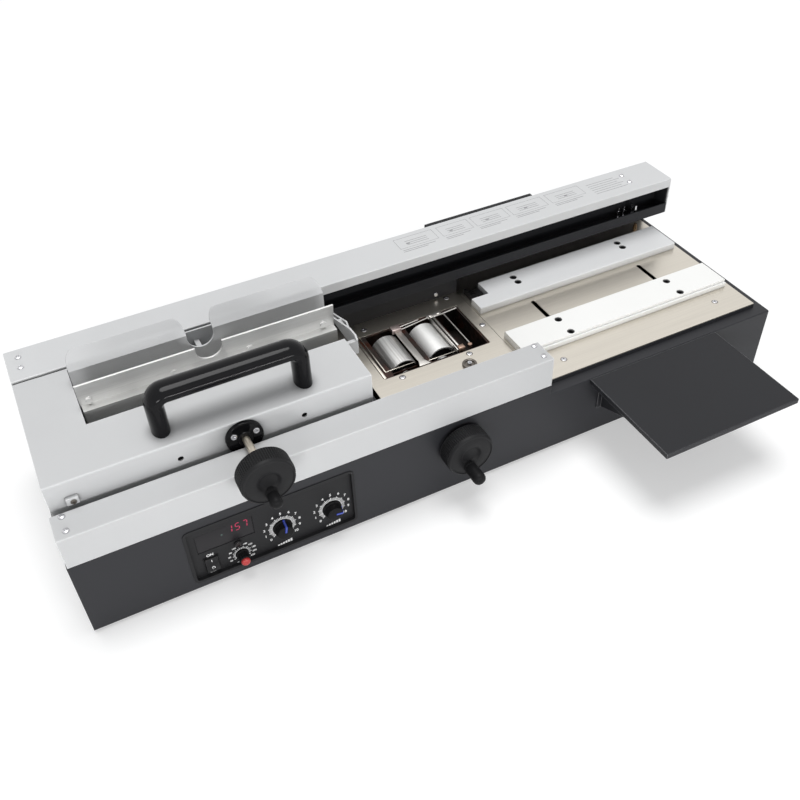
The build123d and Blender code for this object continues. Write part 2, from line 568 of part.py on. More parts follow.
with BuildPart() as carriage_guides:
    block(12.5, 38.5, 6, 26, 117, 137)
    rod_x(16, 127, 6 + FIT, 12.5, 38.5, Mode.SUBTRACT)
    block(14.5, 36.5, 26, CARR_Y0, 120, 134)
    for arm_x0, arm_x1 in ((30, 60), (306, 335.5)):
        block(arm_x0, arm_x1, CARR_Y1, 245, 147, 162)
        block(arm_x0, arm_x1, 226, 245, 162, 179)
        rod_x(235.5, 171, 4 + FIT, arm_x0, arm_x1, Mode.SUBTRACT)
    block(60, 306, 236, 245, 147, 157)

with BuildPart() as carriage_handle:
    with BuildLine(front(72)) as handle_path:
        FilletPolyline((132, CARR_Z1), (132, 228), (292, 228), (292, CARR_Z1), radius=13)
    with BuildSketch(Plane.XY.offset(CARR_Z1)):
        with Locations((132, 72)):
            Ellipse(10, 15)
    sweep(path=handle_path.line)

with BuildPart() as clamp_flange:
    turned_y([(4.25 + FIT, 37), (9, 37), (9, 39), (20, 39), (21, 40), (21, 44), (6.1, 44), (6.1, 50),
              (4.25 + FIT, 50)], CLAMP_X, CLAMP_Z)
    for i in range(3):
        rod_y(CLAMP_X + 14.3 * cos(radians(13.5 + 120 * i)), CLAMP_Z + 14.3 * sin(radians(13.5 + 120 * i)),
              2.6, 36.6, 39)

with BuildPart() as rear_jaw:
    prism_x([(184, JAW_Z0), (186, JAW_Z0), (186, 200.2), (203.9, 215.3), (202.6, 216.8), (184, 201)],
            65, 366)
    with BuildSketch(front(210)) as jaw_outline:
        with Locations((131.5, 165)):
            RectangleRounded(133, 104, 14)
        with Locations((297, 165)):
            RectangleRounded(138, 104, 14)
        with Locations((215.5, 147)):
            Rectangle(301, 70)
        with Locations((213, 182)):
            Rectangle(40, 36)
        with Locations((213, 195.5)):
            Circle(15.5, mode=Mode.SUBTRACT)
        with Locations((213, 208)):
            Rectangle(31, 25, mode=Mode.SUBTRACT)
    extrude(amount=40, mode=Mode.INTERSECT)
    block(66, CARR_X1, 186, 196, JAW_Z0, 172)
    for web_x in (80, 210, 340):
        block(web_x, web_x + 6, 196, CARR_Y1 - SHEET, JAW_Z0, 166)

with BuildPart() as gauge_bracket:
    block(CARR_X1, 375, 112, 117, 157, 175)
    prism_x([(112, 156), (191.3, 156), (191.3, 158.4), (132, 179.6), (116.5, 181), (112, 176.5)], 375, 377)
    prism_x([(154, 163), (160, 168.4), (209, 150.2), (204, 145)], 382, 384)
    block(377, 382, 165, 176, 159.5, 162.5)

# ---------------------------------------------------------------- clamp jaw and screw

with BuildPart() as jaw_body:
    block(JAW_X0, JAW_X1, 136, 147, JAW_Z0, 181)
    block(NOTCH_X - 20, NOTCH_X + 20, 136, 147, 176, 181, Mode.SUBTRACT)

with BuildPart() as jaw_plate:
    prism_x([(147, JAW_Z0), (149.5, JAW_Z0), (149.5, 190), (146.5, 210.6), (144, 210.6), (147, 190)],
            64.8, 362.6)
    rod_y(NOTCH_X, 205.5, 15.4, 140, 152, Mode.SUBTRACT)
    block(NOTCH_X - 15.4, NOTCH_X + 15.4, 140, 152, 205.5, 212, Mode.SUBTRACT)
    for screw_x in (75.1, 169.4, 258.7, 349.1):
        rod_y(screw_x, 186, 3.8, 144.8, 147)

with BuildPart() as jaw_guides:
    for rod_at in (110, 310):
        rod_y(rod_at, 140, 5, 66, 136)
    rod_y(CLAMP_X, CLAMP_Z, 9, 70, 136)
    rod_y(CLAMP_X, CLAMP_Z, 5, 86, 136, Mode.SUBTRACT)
    rod_y(CLAMP_X, CLAMP_Z, 4.25 + FIT, 70, 86, Mode.SUBTRACT)

CLAMP_PIN = (CLAMP_X, CLAMP_Z - 15.5)

with BuildPart() as clamp_wheel:
    handwheel(CLAMP_X, CLAMP_Z, -34, -9.5, CLAMP_PIN[0], CLAMP_PIN[1], 15)

with BuildPart() as clamp_screw:
    turned_y([(0, -9.5), (4.25, -9.5), (4.25, -4), (3.6, -4), (3.6, -2), (4.25, -2), (4.25, 116), (0, 116)],
             CLAMP_X, CLAMP_Z)

with BuildPart() as clamp_grip:
    grip_handle(CLAMP_PIN[0], CLAMP_PIN[1], -55, -34.3, 7.4)

# ---------------------------------------------------------------- export

NODES = {
    "base_shell": base_shell, "bottom_plate": bottom_plate, "feet": feet, "cross_frame": cross_frame,
    "front_rail_cover": front_rail_cover, "front_rail": front_rail,
    "rear_rail_channel": rear_rail_channel, "rear_rail_cover": rear_rail_cover, "rear_rail": rear_rail,
    "rear_box": rear_box, "loading_deck": loading_deck, "loading_platen": loading_platen,
    "glue_tank": glue_tank, "tank_heater": tank_heater, "tank_cover_plate": tank_cover_plate,
    "tank_divider": tank_divider, "glue_scraper": glue_scraper, "drive_motor": drive_motor,
    "drive_pinion": drive_pinion, "roller_left": roller_left, "roller_right": roller_right,
    "gear_left": gear_left, "gear_right": gear_right, "table_plinth": table_plinth,
    "table_plate": table_plate, "rear_nip_plate": rear_nip_plate, "nip_bracket": nip_bracket,
    "lay_stop": lay_stop, "nip_guides": nip_guides, "front_nip_plate": front_nip_plate,
    "nip_screws": nip_screws, "nip_slide": nip_slide, "nip_wheel": nip_wheel,
    "nip_spindle": nip_spindle, "nip_grip": nip_grip, "control_panel": control_panel,
    "display_module": display_module, "control_bodies": control_bodies,
    "rocker_switch": rocker_switch, "thermostat_knob": thermostat_knob, "speed_knob": speed_knob,
    "timer_knob": timer_knob, "control_board": control_board, "power_inlet": power_inlet,
    "side_tray": side_tray, "fixed_screws": fixed_screws, "carriage_housing": carriage_housing,
    "carriage_guides": carriage_guides, "carriage_handle": carriage_handle,
    "clamp_flange": clamp_flange, "rear_jaw": rear_jaw, "gauge_bracket": gauge_bracket,
    "jaw_body": jaw_body, "jaw_plate": jaw_plate, "jaw_guides": jaw_guides,
    "clamp_wheel": clamp_wheel, "clamp_screw": clamp_screw, "clamp_grip": clamp_grip,
}

os.makedirs("parts", exist_ok=True)
for node_name, node in NODES.items():
    shape = Pos(*SHIFT) * node.part
    shape.label = node_name
    export_step(shape, "parts/" + node_name + ".step")
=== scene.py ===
import json
import math

import bmesh
import bpy
from mathutils import Matrix, Vector


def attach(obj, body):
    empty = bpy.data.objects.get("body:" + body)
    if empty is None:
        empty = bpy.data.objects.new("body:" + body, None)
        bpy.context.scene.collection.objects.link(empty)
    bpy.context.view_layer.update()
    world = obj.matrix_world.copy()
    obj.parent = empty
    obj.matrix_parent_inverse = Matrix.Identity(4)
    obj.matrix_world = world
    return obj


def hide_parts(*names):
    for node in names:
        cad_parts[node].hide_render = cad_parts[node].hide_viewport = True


bl_info = {
    "name": "Thermal binder dressing",
    "version": (1, 0, 0),
    "blender": (4, 5, 0),
    "location": "3D View > Sidebar > Binder",
    "description": "Dresses the packed thermal binding machine with its finishes and detailed pieces",
    "category": "Object",
}

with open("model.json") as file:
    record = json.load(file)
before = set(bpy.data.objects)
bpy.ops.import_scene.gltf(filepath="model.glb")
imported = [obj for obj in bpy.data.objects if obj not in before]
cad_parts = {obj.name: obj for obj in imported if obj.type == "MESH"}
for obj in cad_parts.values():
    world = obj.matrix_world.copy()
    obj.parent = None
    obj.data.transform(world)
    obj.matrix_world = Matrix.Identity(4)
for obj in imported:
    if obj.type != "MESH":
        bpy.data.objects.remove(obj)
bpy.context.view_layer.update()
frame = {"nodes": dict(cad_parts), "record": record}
NODES = frame["nodes"]

# Drawings are in millimetres from the base's front left lower corner; the frame is in metres from
# the middle of the footprint.
TO_FRAME = Matrix.Translation((-0.460, -0.089, 0.005)) @ Matrix.Scale(0.001, 4)

# Axes that run from front to back, as (x, z).
CLAMP_AXIS = (210.6, 158.5)
CLAMP_PIN = (210.6, 143.0)
NIP_AXIS = (451.5, 72.0)
NIP_PIN = (449.0, 56.0)
DIALS = {"thermostat": (173.5, 24.5), "speed_dial": (224.1, 42.3), "timer_dial": (284.6, 41.1)}
PILOT_LAMP = (171.2, 45.0)
ROLLERS = {"roller_left": 445.0, "roller_right": 499.0}
ROLLER_Z = 80.25
# The rocker's axis runs from left to right, as (y, z).
ROCKER_PIVOT = (8.0, 28.25)

# Faces that the pieces stand on: y of the upright ones, z of the level ones.
PANEL_FACE = 4.0
CARRIAGE_FRONT = 44.0
CARRIAGE_TOP = 180.2
FLANGE_FACE = 39.0
FRONT_COVER_TOP = 149.3
REAR_COVER_TOP = 182.4
RAIL_FLOOR = 130.4
DECK_TOP = 100.2
WELL_RIM = 98.7
COUNTERBORE = 105.5

INK = 0.06                  # thickness of the print on the panel


# ---------------------------------------------------------------- settings


class BinderColours(bpy.types.PropertyGroup):
    cover_grey: bpy.props.FloatVectorProperty(
        name="Cover grey", description="Powder coat on the covers and the carriage", subtype="COLOR",
        size=3, min=0, max=1, default=(0.58, 0.585, 0.59))
    base_black: bpy.props.FloatVectorProperty(
        name="Base black", description="Satin paint on the base and the side tray", subtype="COLOR",
        size=3, min=0, max=1, default=(0.024, 0.0245, 0.028))
    deck_steel: bpy.props.FloatVectorProperty(
        name="Deck steel", description="Brushed stainless of the table and tank plates", subtype="COLOR",
        size=3, min=0, max=1, default=(0.66, 0.62, 0.55))
    nip_white: bpy.props.FloatVectorProperty(
        name="Nip white", description="Face of the moving nip plate", subtype="COLOR",
        size=3, min=0, max=1, default=(0.93, 0.93, 0.91))
    plastic_black: bpy.props.FloatVectorProperty(
        name="Plastic black", description="Moulded handwheels, knobs and the panel", subtype="COLOR",
        size=3, min=0, max=1, default=(0.0135, 0.0135, 0.0145))
    print_white: bpy.props.FloatVectorProperty(
        name="Print white", description="Dial scales and switch words", subtype="COLOR",
        size=3, min=0, max=1, default=(0.72, 0.72, 0.72))
    display_red: bpy.props.FloatVectorProperty(
        name="Display red", description="Lit segments of the temperature display", subtype="COLOR",
        size=3, min=0, max=1, default=(0.34, 0.010, 0.055))
    pointer_blue: bpy.props.FloatVectorProperty(
        name="Pointer blue", description="Pointer stripe of the two dials", subtype="COLOR",
        size=3, min=0, max=1, default=(0.03, 0.06, 0.42))
    cap_red: bpy.props.FloatVectorProperty(
        name="Cap red", description="End cap of the thermostat knob", subtype="COLOR",
        size=3, min=0, max=1, default=(0.46, 0.03, 0.03))


class BinderHandwheels(bpy.types.PropertyGroup):
    rim_radius: bpy.props.FloatProperty(
        name="Rim radius", description="Outer radius of both handwheels, in millimetres", default=30.0,
        min=20, max=45)
    teeth: bpy.props.IntProperty(
        name="Rim ribs", description="Ribs around the grip of the rim", default=70, min=12, max=120)
    rib_depth: bpy.props.FloatProperty(
        name="Rib depth", description="Depth of the grooves between ribs, in millimetres", default=1.05,
        min=0, max=2)
    dish: bpy.props.FloatProperty(
        name="Hub dish", description="Depth of the dish round the hub, in millimetres", default=3.6, min=1, max=9)
    dish_radius: bpy.props.FloatProperty(
        name="Dish radius", description="Radius of the dish round the hub, in millimetres", default=12.4,
        min=8, max=20)


class BinderDials(bpy.types.PropertyGroup):
    scale_radius: bpy.props.FloatProperty(
        name="Scale radius", description="Inner radius of the printed scale, in millimetres", default=12.2,
        min=9, max=16)
    number_radius: bpy.props.FloatProperty(
        name="Number radius", description="Radius of the ring of numbers, in millimetres", default=21.5,
        min=12, max=26)
    number_height: bpy.props.FloatProperty(
        name="Number height", description="Size of the printed numbers, in millimetres", default=5.2,
        min=1, max=8)
    sweep: bpy.props.FloatProperty(
        name="Sweep", description="Angle between the first and the last mark", subtype="ANGLE",
        default=math.radians(270), min=1, max=6)


class BinderStage(bpy.types.PropertyGroup):
    camera_at: bpy.props.FloatVectorProperty(
        name="Camera", description="Camera position in the frame", subtype="TRANSLATION", unit="LENGTH",
        size=3, default=(-0.389714, -0.742208, 0.836713))
    azimuth: bpy.props.FloatProperty(
        name="Azimuth", description="Viewing direction round the machine", subtype="ANGLE",
        default=math.radians(-25.0186))
    elevation: bpy.props.FloatProperty(
        name="Elevation", description="Viewing direction above the horizon", subtype="ANGLE",
        default=math.radians(42.4470))
    roll: bpy.props.FloatProperty(
        name="Roll", description="Turn of the camera about its own axis", subtype="ANGLE",
        default=math.radians(-2.4556))
    lens: bpy.props.FloatProperty(
        name="Lens", description="Focal length in millimetres on a 36 mm sensor", default=40.7293, min=10,
        max=200)
    top_sun: bpy.props.FloatProperty(
        name="Top light", description="Strength of the broad light from above", default=2.02, min=0,
        max=10)
    front_power: bpy.props.FloatProperty(
        name="Front light", description="Power of the light panel low at the front left", default=5.2, min=0,
        max=200, unit="POWER")
    strip_power: bpy.props.FloatProperty(
        name="Strip light", description="Power of the narrow strip that draws the line on the handle", default=6.5,
        min=0, max=200, unit="POWER")
    sky: bpy.props.FloatProperty(
        name="Sky", description="Strength of the even light from all round", default=0.34, min=0, max=2)


def colours():
    return bpy.context.scene.binder_colours


# ---------------------------------------------------------------- shared surface effects


def new_group(name, inputs, outputs):
    group = bpy.data.node_groups.new(name, "ShaderNodeTree")
    for label, kind, value in inputs:
        socket = group.interface.new_socket(label, in_out="INPUT", socket_type=kind)
        socket.default_value = value
    for label, kind in outputs:
        group.interface.new_socket(label, in_out="OUTPUT", socket_type=kind)
    return group, group.nodes.new("NodeGroupInput"), group.nodes.new("NodeGroupOutput")


def arithmetic(tree, operation, *values):
    """Math node; each value is a number or a socket."""
    node = tree.nodes.new("ShaderNodeMath")
    node.operation = operation
    for socket, value in zip(node.inputs, values):
        if isinstance(value, bpy.types.NodeSocket):
            tree.links.new(value, socket)
        else:
            socket.default_value = value
    return node.outputs[0]


def remapped(tree, factor, **limits):
    """Map Range of a mask, with limits such as From_Min=0.2."""
    span = tree.nodes.new("ShaderNodeMapRange")
    for label, value in limits.items():
        span.inputs[label.replace("_", " ")].default_value = value
    tree.links.new(factor, span.inputs["Value"])
    return span.outputs["Result"]


def noise(tree, where, scale, detail, roughness=0.5):
    """Noise mask over a vector; scale is a number or a socket."""
    node = tree.nodes.new("ShaderNodeTexNoise")
    node.inputs["Detail"].default_value = detail
    node.inputs["Roughness"].default_value = roughness
    tree.links.new(where, node.inputs["Vector"])
    if isinstance(scale, bpy.types.NodeSocket):
        tree.links.new(scale, node.inputs["Scale"])
    else:
        node.inputs["Scale"].default_value = scale
    return node.outputs["Fac"]


def grain_group():
    """Slow mottling and a fine tooth, both from the object's own coordinates."""
    if "Surface Grain" in bpy.data.node_groups:
        return bpy.data.node_groups["Surface Grain"]
    group, ins, outs = new_group(
        "Surface Grain",
        [("Grain Scale", "NodeSocketFloat", 900.0), ("Mottle Scale", "NodeSocketFloat", 14.0)],
        [("Grain", "NodeSocketFloat"), ("Mottle", "NodeSocketFloat")])
    where = group.nodes.new("ShaderNodeTexCoord").outputs["Object"]
    for label, detail in (("Grain", 3.0), ("Mottle", 5.0)):
        mask = noise(group, where, ins.outputs[label + " Scale"], detail, 0.6)
        group.links.new(mask, outs.inputs[label])
    return group


def streak_group():
    """Long scratches along one axis, as brushing or turning leaves them."""
    if "Brushed Streaks" in bpy.data.node_groups:
        return bpy.data.node_groups["Brushed Streaks"]
    group, ins, outs = new_group(
        "Brushed Streaks",
        [("Stretch", "NodeSocketVector", (6.0, 900.0, 900.0)), ("Contrast", "NodeSocketFloat", 1.0)],
        [("Streak", "NodeSocketFloat")])
    where = group.nodes.new("ShaderNodeTexCoord")
    scaled = group.nodes.new("ShaderNodeVectorMath")
    scaled.operation = "MULTIPLY"
    group.links.new(where.outputs["Object"], scaled.inputs[0])
    group.links.new(ins.outputs["Stretch"], scaled.inputs[1])
    around_zero = arithmetic(group, "SUBTRACT", noise(group, scaled.outputs[0], 1.0, 4.0), 0.5)
    streak = arithmetic(group, "MULTIPLY_ADD", around_zero, ins.outputs["Contrast"], 0.5)
    group.links.new(streak, outs.inputs["Streak"])
    return group


def wear_group():
    """A broken line along the outer edges, where paint rubs thin; set wide and near white it is a painted highlight
    along the folds.
    """
    if "Edge Wear And Highlight" in bpy.data.node_groups:
        return bpy.data.node_groups["Edge Wear And Highlight"]
    group, ins, outs = new_group(
        "Edge Wear And Highlight",
        [("Width", "NodeSocketFloat", 0.0008), ("Amount", "NodeSocketFloat", 0.5)],
        [("Edge", "NodeSocketFloat")])
    bevel = group.nodes.new("ShaderNodeBevel")
    bevel.samples = 4
    group.links.new(ins.outputs["Width"], bevel.inputs["Radius"])
    aligned = group.nodes.new("ShaderNodeVectorMath")
    aligned.operation = "DOT_PRODUCT"
    group.links.new(bevel.outputs["Normal"], aligned.inputs[0])
    group.links.new(group.nodes.new("ShaderNodeNewGeometry").outputs["Normal"], aligned.inputs[1])
    turned = remapped(group, aligned.outputs["Value"], From_Min=0.995, From_Max=0.86)
    where = group.nodes.new("ShaderNodeTexCoord").outputs["Object"]
    broken = remapped(group, noise(group, where, 90.0, 4.0), From_Min=0.15, From_Max=0.50)
    line = arithmetic(group, "MULTIPLY", arithmetic(group, "MULTIPLY", turned, broken), ins.outputs["Amount"])
    group.links.new(line, outs.inputs["Edge"])
    return group


def crevice_group():
    """How deep a spot lies in a gap or corner, as a mask for painted shade: 1 in the open, falling to 0."""
    if "Painted Gap Shade" in bpy.data.node_groups:
        return bpy.data.node_groups["Painted Gap Shade"]
    group, ins, outs = new_group("Painted Gap Shade", [("Reach", "NodeSocketFloat", 0.012)], [("Open", "NodeSocketFloat")])
    near = group.nodes.new("ShaderNodeAmbientOcclusion")
    near.samples = 6
    group.links.new(ins.outputs["Reach"], near.inputs["Distance"])
    group.links.new(remapped(group, near.outputs["AO"], From_Min=0.25, From_Max=0.85), outs.inputs["Open"])
    return group


def place_group(material, group, **values):
    node = material.node_tree.nodes.new("ShaderNodeGroup")
    node.node_tree = group
    for label, value in values.items():
        node.inputs[label.replace("_", " ")].default_value = value
    return node


def mixed(material, factor, low, high):
    """Mix of two colours by a mask; each may be a colour or a socket."""
    tree = material.node_tree
    mix = tree.nodes.new("ShaderNodeMix")
    mix.data_type = "RGBA"
    tree.links.new(factor, mix.inputs["Factor"])
    for socket, colour in zip((mix.inputs[6], mix.inputs[7]), (low, high)):
        if isinstance(colour, bpy.types.NodeSocket):
            tree.links.new(colour, socket)
        else:
            socket.default_value = (*colour, 1)
    return mix.outputs[2]


def ranged(material, factor, low, high):
    return remapped(material.node_tree, factor, To_Min=low, To_Max=high)


def bumped(material, height, distance):
    tree = material.node_tree
    bump = tree.nodes.new("ShaderNodeBump")
    bump.inputs["Distance"].default_value = distance
    tree.links.new(height, bump.inputs["Height"])
    return bump.outputs["Normal"]


def shade(colour, factor):
    return tuple(min(1.0, c * factor) for c in colour)


def start_material(name, roughness, metallic=0.0):
    material = bpy.data.materials.new(name)
    material.use_nodes = True
    surface = material.node_tree.nodes["Principled BSDF"]
    surface.inputs["Roughness"].default_value = roughness
    surface.inputs["Metallic"].default_value = metallic
    return material, surface


def made_once(maker):
    """Let a finish be made only the first time its name is asked for."""
    def fetch(name, *args, **kwargs):
        return bpy.data.materials.get(name) or maker(name, *args, **kwargs)
    return fetch


@made_once
def painted(name, colour, rough=(0.34, 0.44), grain=1500.0, relief=0.00004, edge_wear_and_highlight=0.25, worn=None, gloss=0.5,
            depth=0.06, painted_gap_shade=0.45, rim=0.0008):
    """Powder coat: orange peel, slow tone changes, lighter edges (part rubbed paint, part painted highlight)
    and painted shade in gaps.

    depth is the change of tone, shut the tone of the painted shade in gaps, and rim the width of the
    lightened edges.
    """
    material, surface = start_material(name, rough[0])
    links = material.node_tree.links
    field = place_group(material, grain_group(), Grain_Scale=grain, Mottle_Scale=9.0)
    # Lightened edges: rubbed paint, and on the covers, carriage and side tray a painted highlight along the folds.
    edge = place_group(material, wear_group(), Amount=edge_wear_and_highlight, Width=rim)
    # Painted shade: gaps and corners are darkened to shut times the colour.
    gap = place_group(material, crevice_group())
    tone = mixed(material, field.outputs["Mottle"], shade(colour, 1 - depth), shade(colour, 1 + depth))
    tone = mixed(material, edge.outputs["Edge"], tone, worn or shade(colour, 1.5))
    tone = mixed(material, gap.outputs["Open"], shade(colour, painted_gap_shade), tone)
    links.new(tone, surface.inputs["Base Color"])
    links.new(ranged(material, field.outputs["Mottle"], *rough), surface.inputs["Roughness"])
    links.new(bumped(material, field.outputs["Grain"], relief), surface.inputs["Normal"])
    surface.inputs["Specular IOR Level"].default_value = gloss
    return material


def moulded(name, colour, rough=(0.40, 0.52), grain=2600.0, relief=0.00006, edge_wear_and_highlight=0.3, depth=0.12, gloss=0.16):
    """Moulded plastic with a spark-eroded tooth, lightened edges and a little painted shade in gaps."""
    return painted(name, colour, rough, grain=grain, relief=relief, edge_wear_and_highlight=edge_wear_and_highlight, worn=shade(colour, 2.6), gloss=gloss,
                   depth=depth, painted_gap_shade=0.9)


@made_once
def brushed(name, colour, stretch=(7.0, 1100.0, 1100.0), rough=(0.16, 0.24), relief=0.000012, contrast=1.0,
            depth=0.16, tint=None):
    """Metal with its scratches along one axis and slow changes of tone."""
    material, surface = start_material(name, rough[0], 1.0)
    links = material.node_tree.links
    lines = place_group(material, streak_group(), Stretch=stretch, Contrast=contrast)
    field = place_group(material, grain_group(), Grain_Scale=700.0, Mottle_Scale=11.0)
    tone = mixed(material, lines.outputs["Streak"], shade(colour, 1 - depth), shade(colour, 1 + depth * 0.6))
    tone = mixed(material, ranged(material, field.outputs["Mottle"], -0.25, 0.55), tone, tint or shade(colour, 0.93))
    links.new(tone, surface.inputs["Base Color"])
    links.new(ranged(material, lines.outputs["Streak"], *rough), surface.inputs["Roughness"])
    links.new(bumped(material, lines.outputs["Streak"], relief), surface.inputs["Normal"])
    return material


@made_once
def machined(name, colour, rough=(0.20, 0.34)):
    """Plated or ground metal, with an even tooth and faint marks."""
    material, surface = start_material(name, rough[0], 1.0)
    links = material.node_tree.links
    field = place_group(material, grain_group(), Grain_Scale=420.0, Mottle_Scale=38.0)
    tone = mixed(material, field.outputs["Mottle"], shade(colour, 0.86), shade(colour, 1.06))
    links.new(tone, surface.inputs["Base Color"])
    links.new(ranged(material, field.outputs["Grain"], *rough), surface.inputs["Roughness"])
    links.new(bumped(material, field.outputs["Grain"], 0.00001), surface.inputs["Normal"])
    return material


@made_once
def glue_stained(name, colour, glue, bare_rough=0.55, glue_rough=0.28):
    """Metal that hot glue has run over: amber film in patches, bare between."""
    material, surface = start_material(name, glue_rough, 1.0)
    links = material.node_tree.links
    field = place_group(material, grain_group(), Grain_Scale=300.0, Mottle_Scale=46.0)
    patch = remapped(material.node_tree, field.outputs["Mottle"], From_Min=0.46, From_Max=0.62)
    links.new(mixed(material, patch, colour, glue), surface.inputs["Base Color"])
    links.new(ranged(material, patch, bare_rough, glue_rough), surface.inputs["Roughness"])
    links.new(ranged(material, patch, 1.0, 0.25), surface.inputs["Metallic"])
    links.new(bumped(material, field.outputs["Mottle"], 0.0004), surface.inputs["Normal"])
    return material


@made_once
def glossy_black(name):
    """Smooth bakelite: a barely mottled black with a tight gloss."""
    material, surface = start_material(name, 0.2)
    links = material.node_tree.links
    field = place_group(material, grain_group(), Grain_Scale=260.0, Mottle_Scale=30.0)
    tone = mixed(material, field.outputs["Mottle"], (0.004, 0.004, 0.005), (0.009, 0.009, 0.010))
    links.new(tone, surface.inputs["Base Color"])
    links.new(ranged(material, field.outputs["Mottle"], 0.06, 0.11), surface.inputs["Roughness"])
    links.new(bumped(material, field.outputs["Grain"], 0.00002), surface.inputs["Normal"])
    surface.inputs["Specular IOR Level"].default_value = 0.13
    return material


@made_once
def printed(name, colour, rough=0.5, painted_glow=0.0):
    """Screen-printed ink with a slightly uneven cover; glow makes it give off a faint painted light."""
    material, surface = start_material(name, rough)
    links = material.node_tree.links
    field = place_group(material, grain_group(), Grain_Scale=2200.0, Mottle_Scale=220.0)
    tone = mixed(material, field.outputs["Mottle"], shade(colour, 0.9), colour)
    links.new(tone, surface.inputs["Base Color"])
    links.new(bumped(material, field.outputs["Grain"], 0.00001), surface.inputs["Normal"])
    if painted_glow:
        links.new(tone, surface.inputs["Emission Color"])
        surface.inputs["Emission Strength"].default_value = painted_glow
    return material


@made_once
def lit_segment(name, red):
    """Glowing display segment with a slightly uneven tone."""
    material, surface = start_material(name, 0.4)
    links = material.node_tree.links
    field = place_group(material, grain_group(), Grain_Scale=900.0, Mottle_Scale=420.0)
    tone = mixed(material, field.outputs["Mottle"], shade(red, 0.85), red)
    links.new(tone, surface.inputs["Base Color"])
    links.new(tone, surface.inputs["Emission Color"])
    surface.inputs["Emission Strength"].default_value = 0.6
    return material


@made_once
def smoked_window(name):
    """Dark smoked window over the display."""
    material, surface = start_material(name, 0.14)
    links = material.node_tree.links
    field = place_group(material, grain_group(), Grain_Scale=1800.0, Mottle_Scale=60.0)
    tone = mixed(material, field.outputs["Mottle"], (0.014, 0.013, 0.015), (0.018, 0.017, 0.019))
    links.new(tone, surface.inputs["Base Color"])
    links.new(ranged(material, field.outputs["Grain"], 0.30, 0.42), surface.inputs["Roughness"])
    surface.inputs["Specular IOR Level"].default_value = 0.2
    return material


def panel_ink():
    # The white print gives off a faint painted light, so that it reads brighter.
    return printed("White panel print", tuple(colours().print_white), 0.5, 0.14)


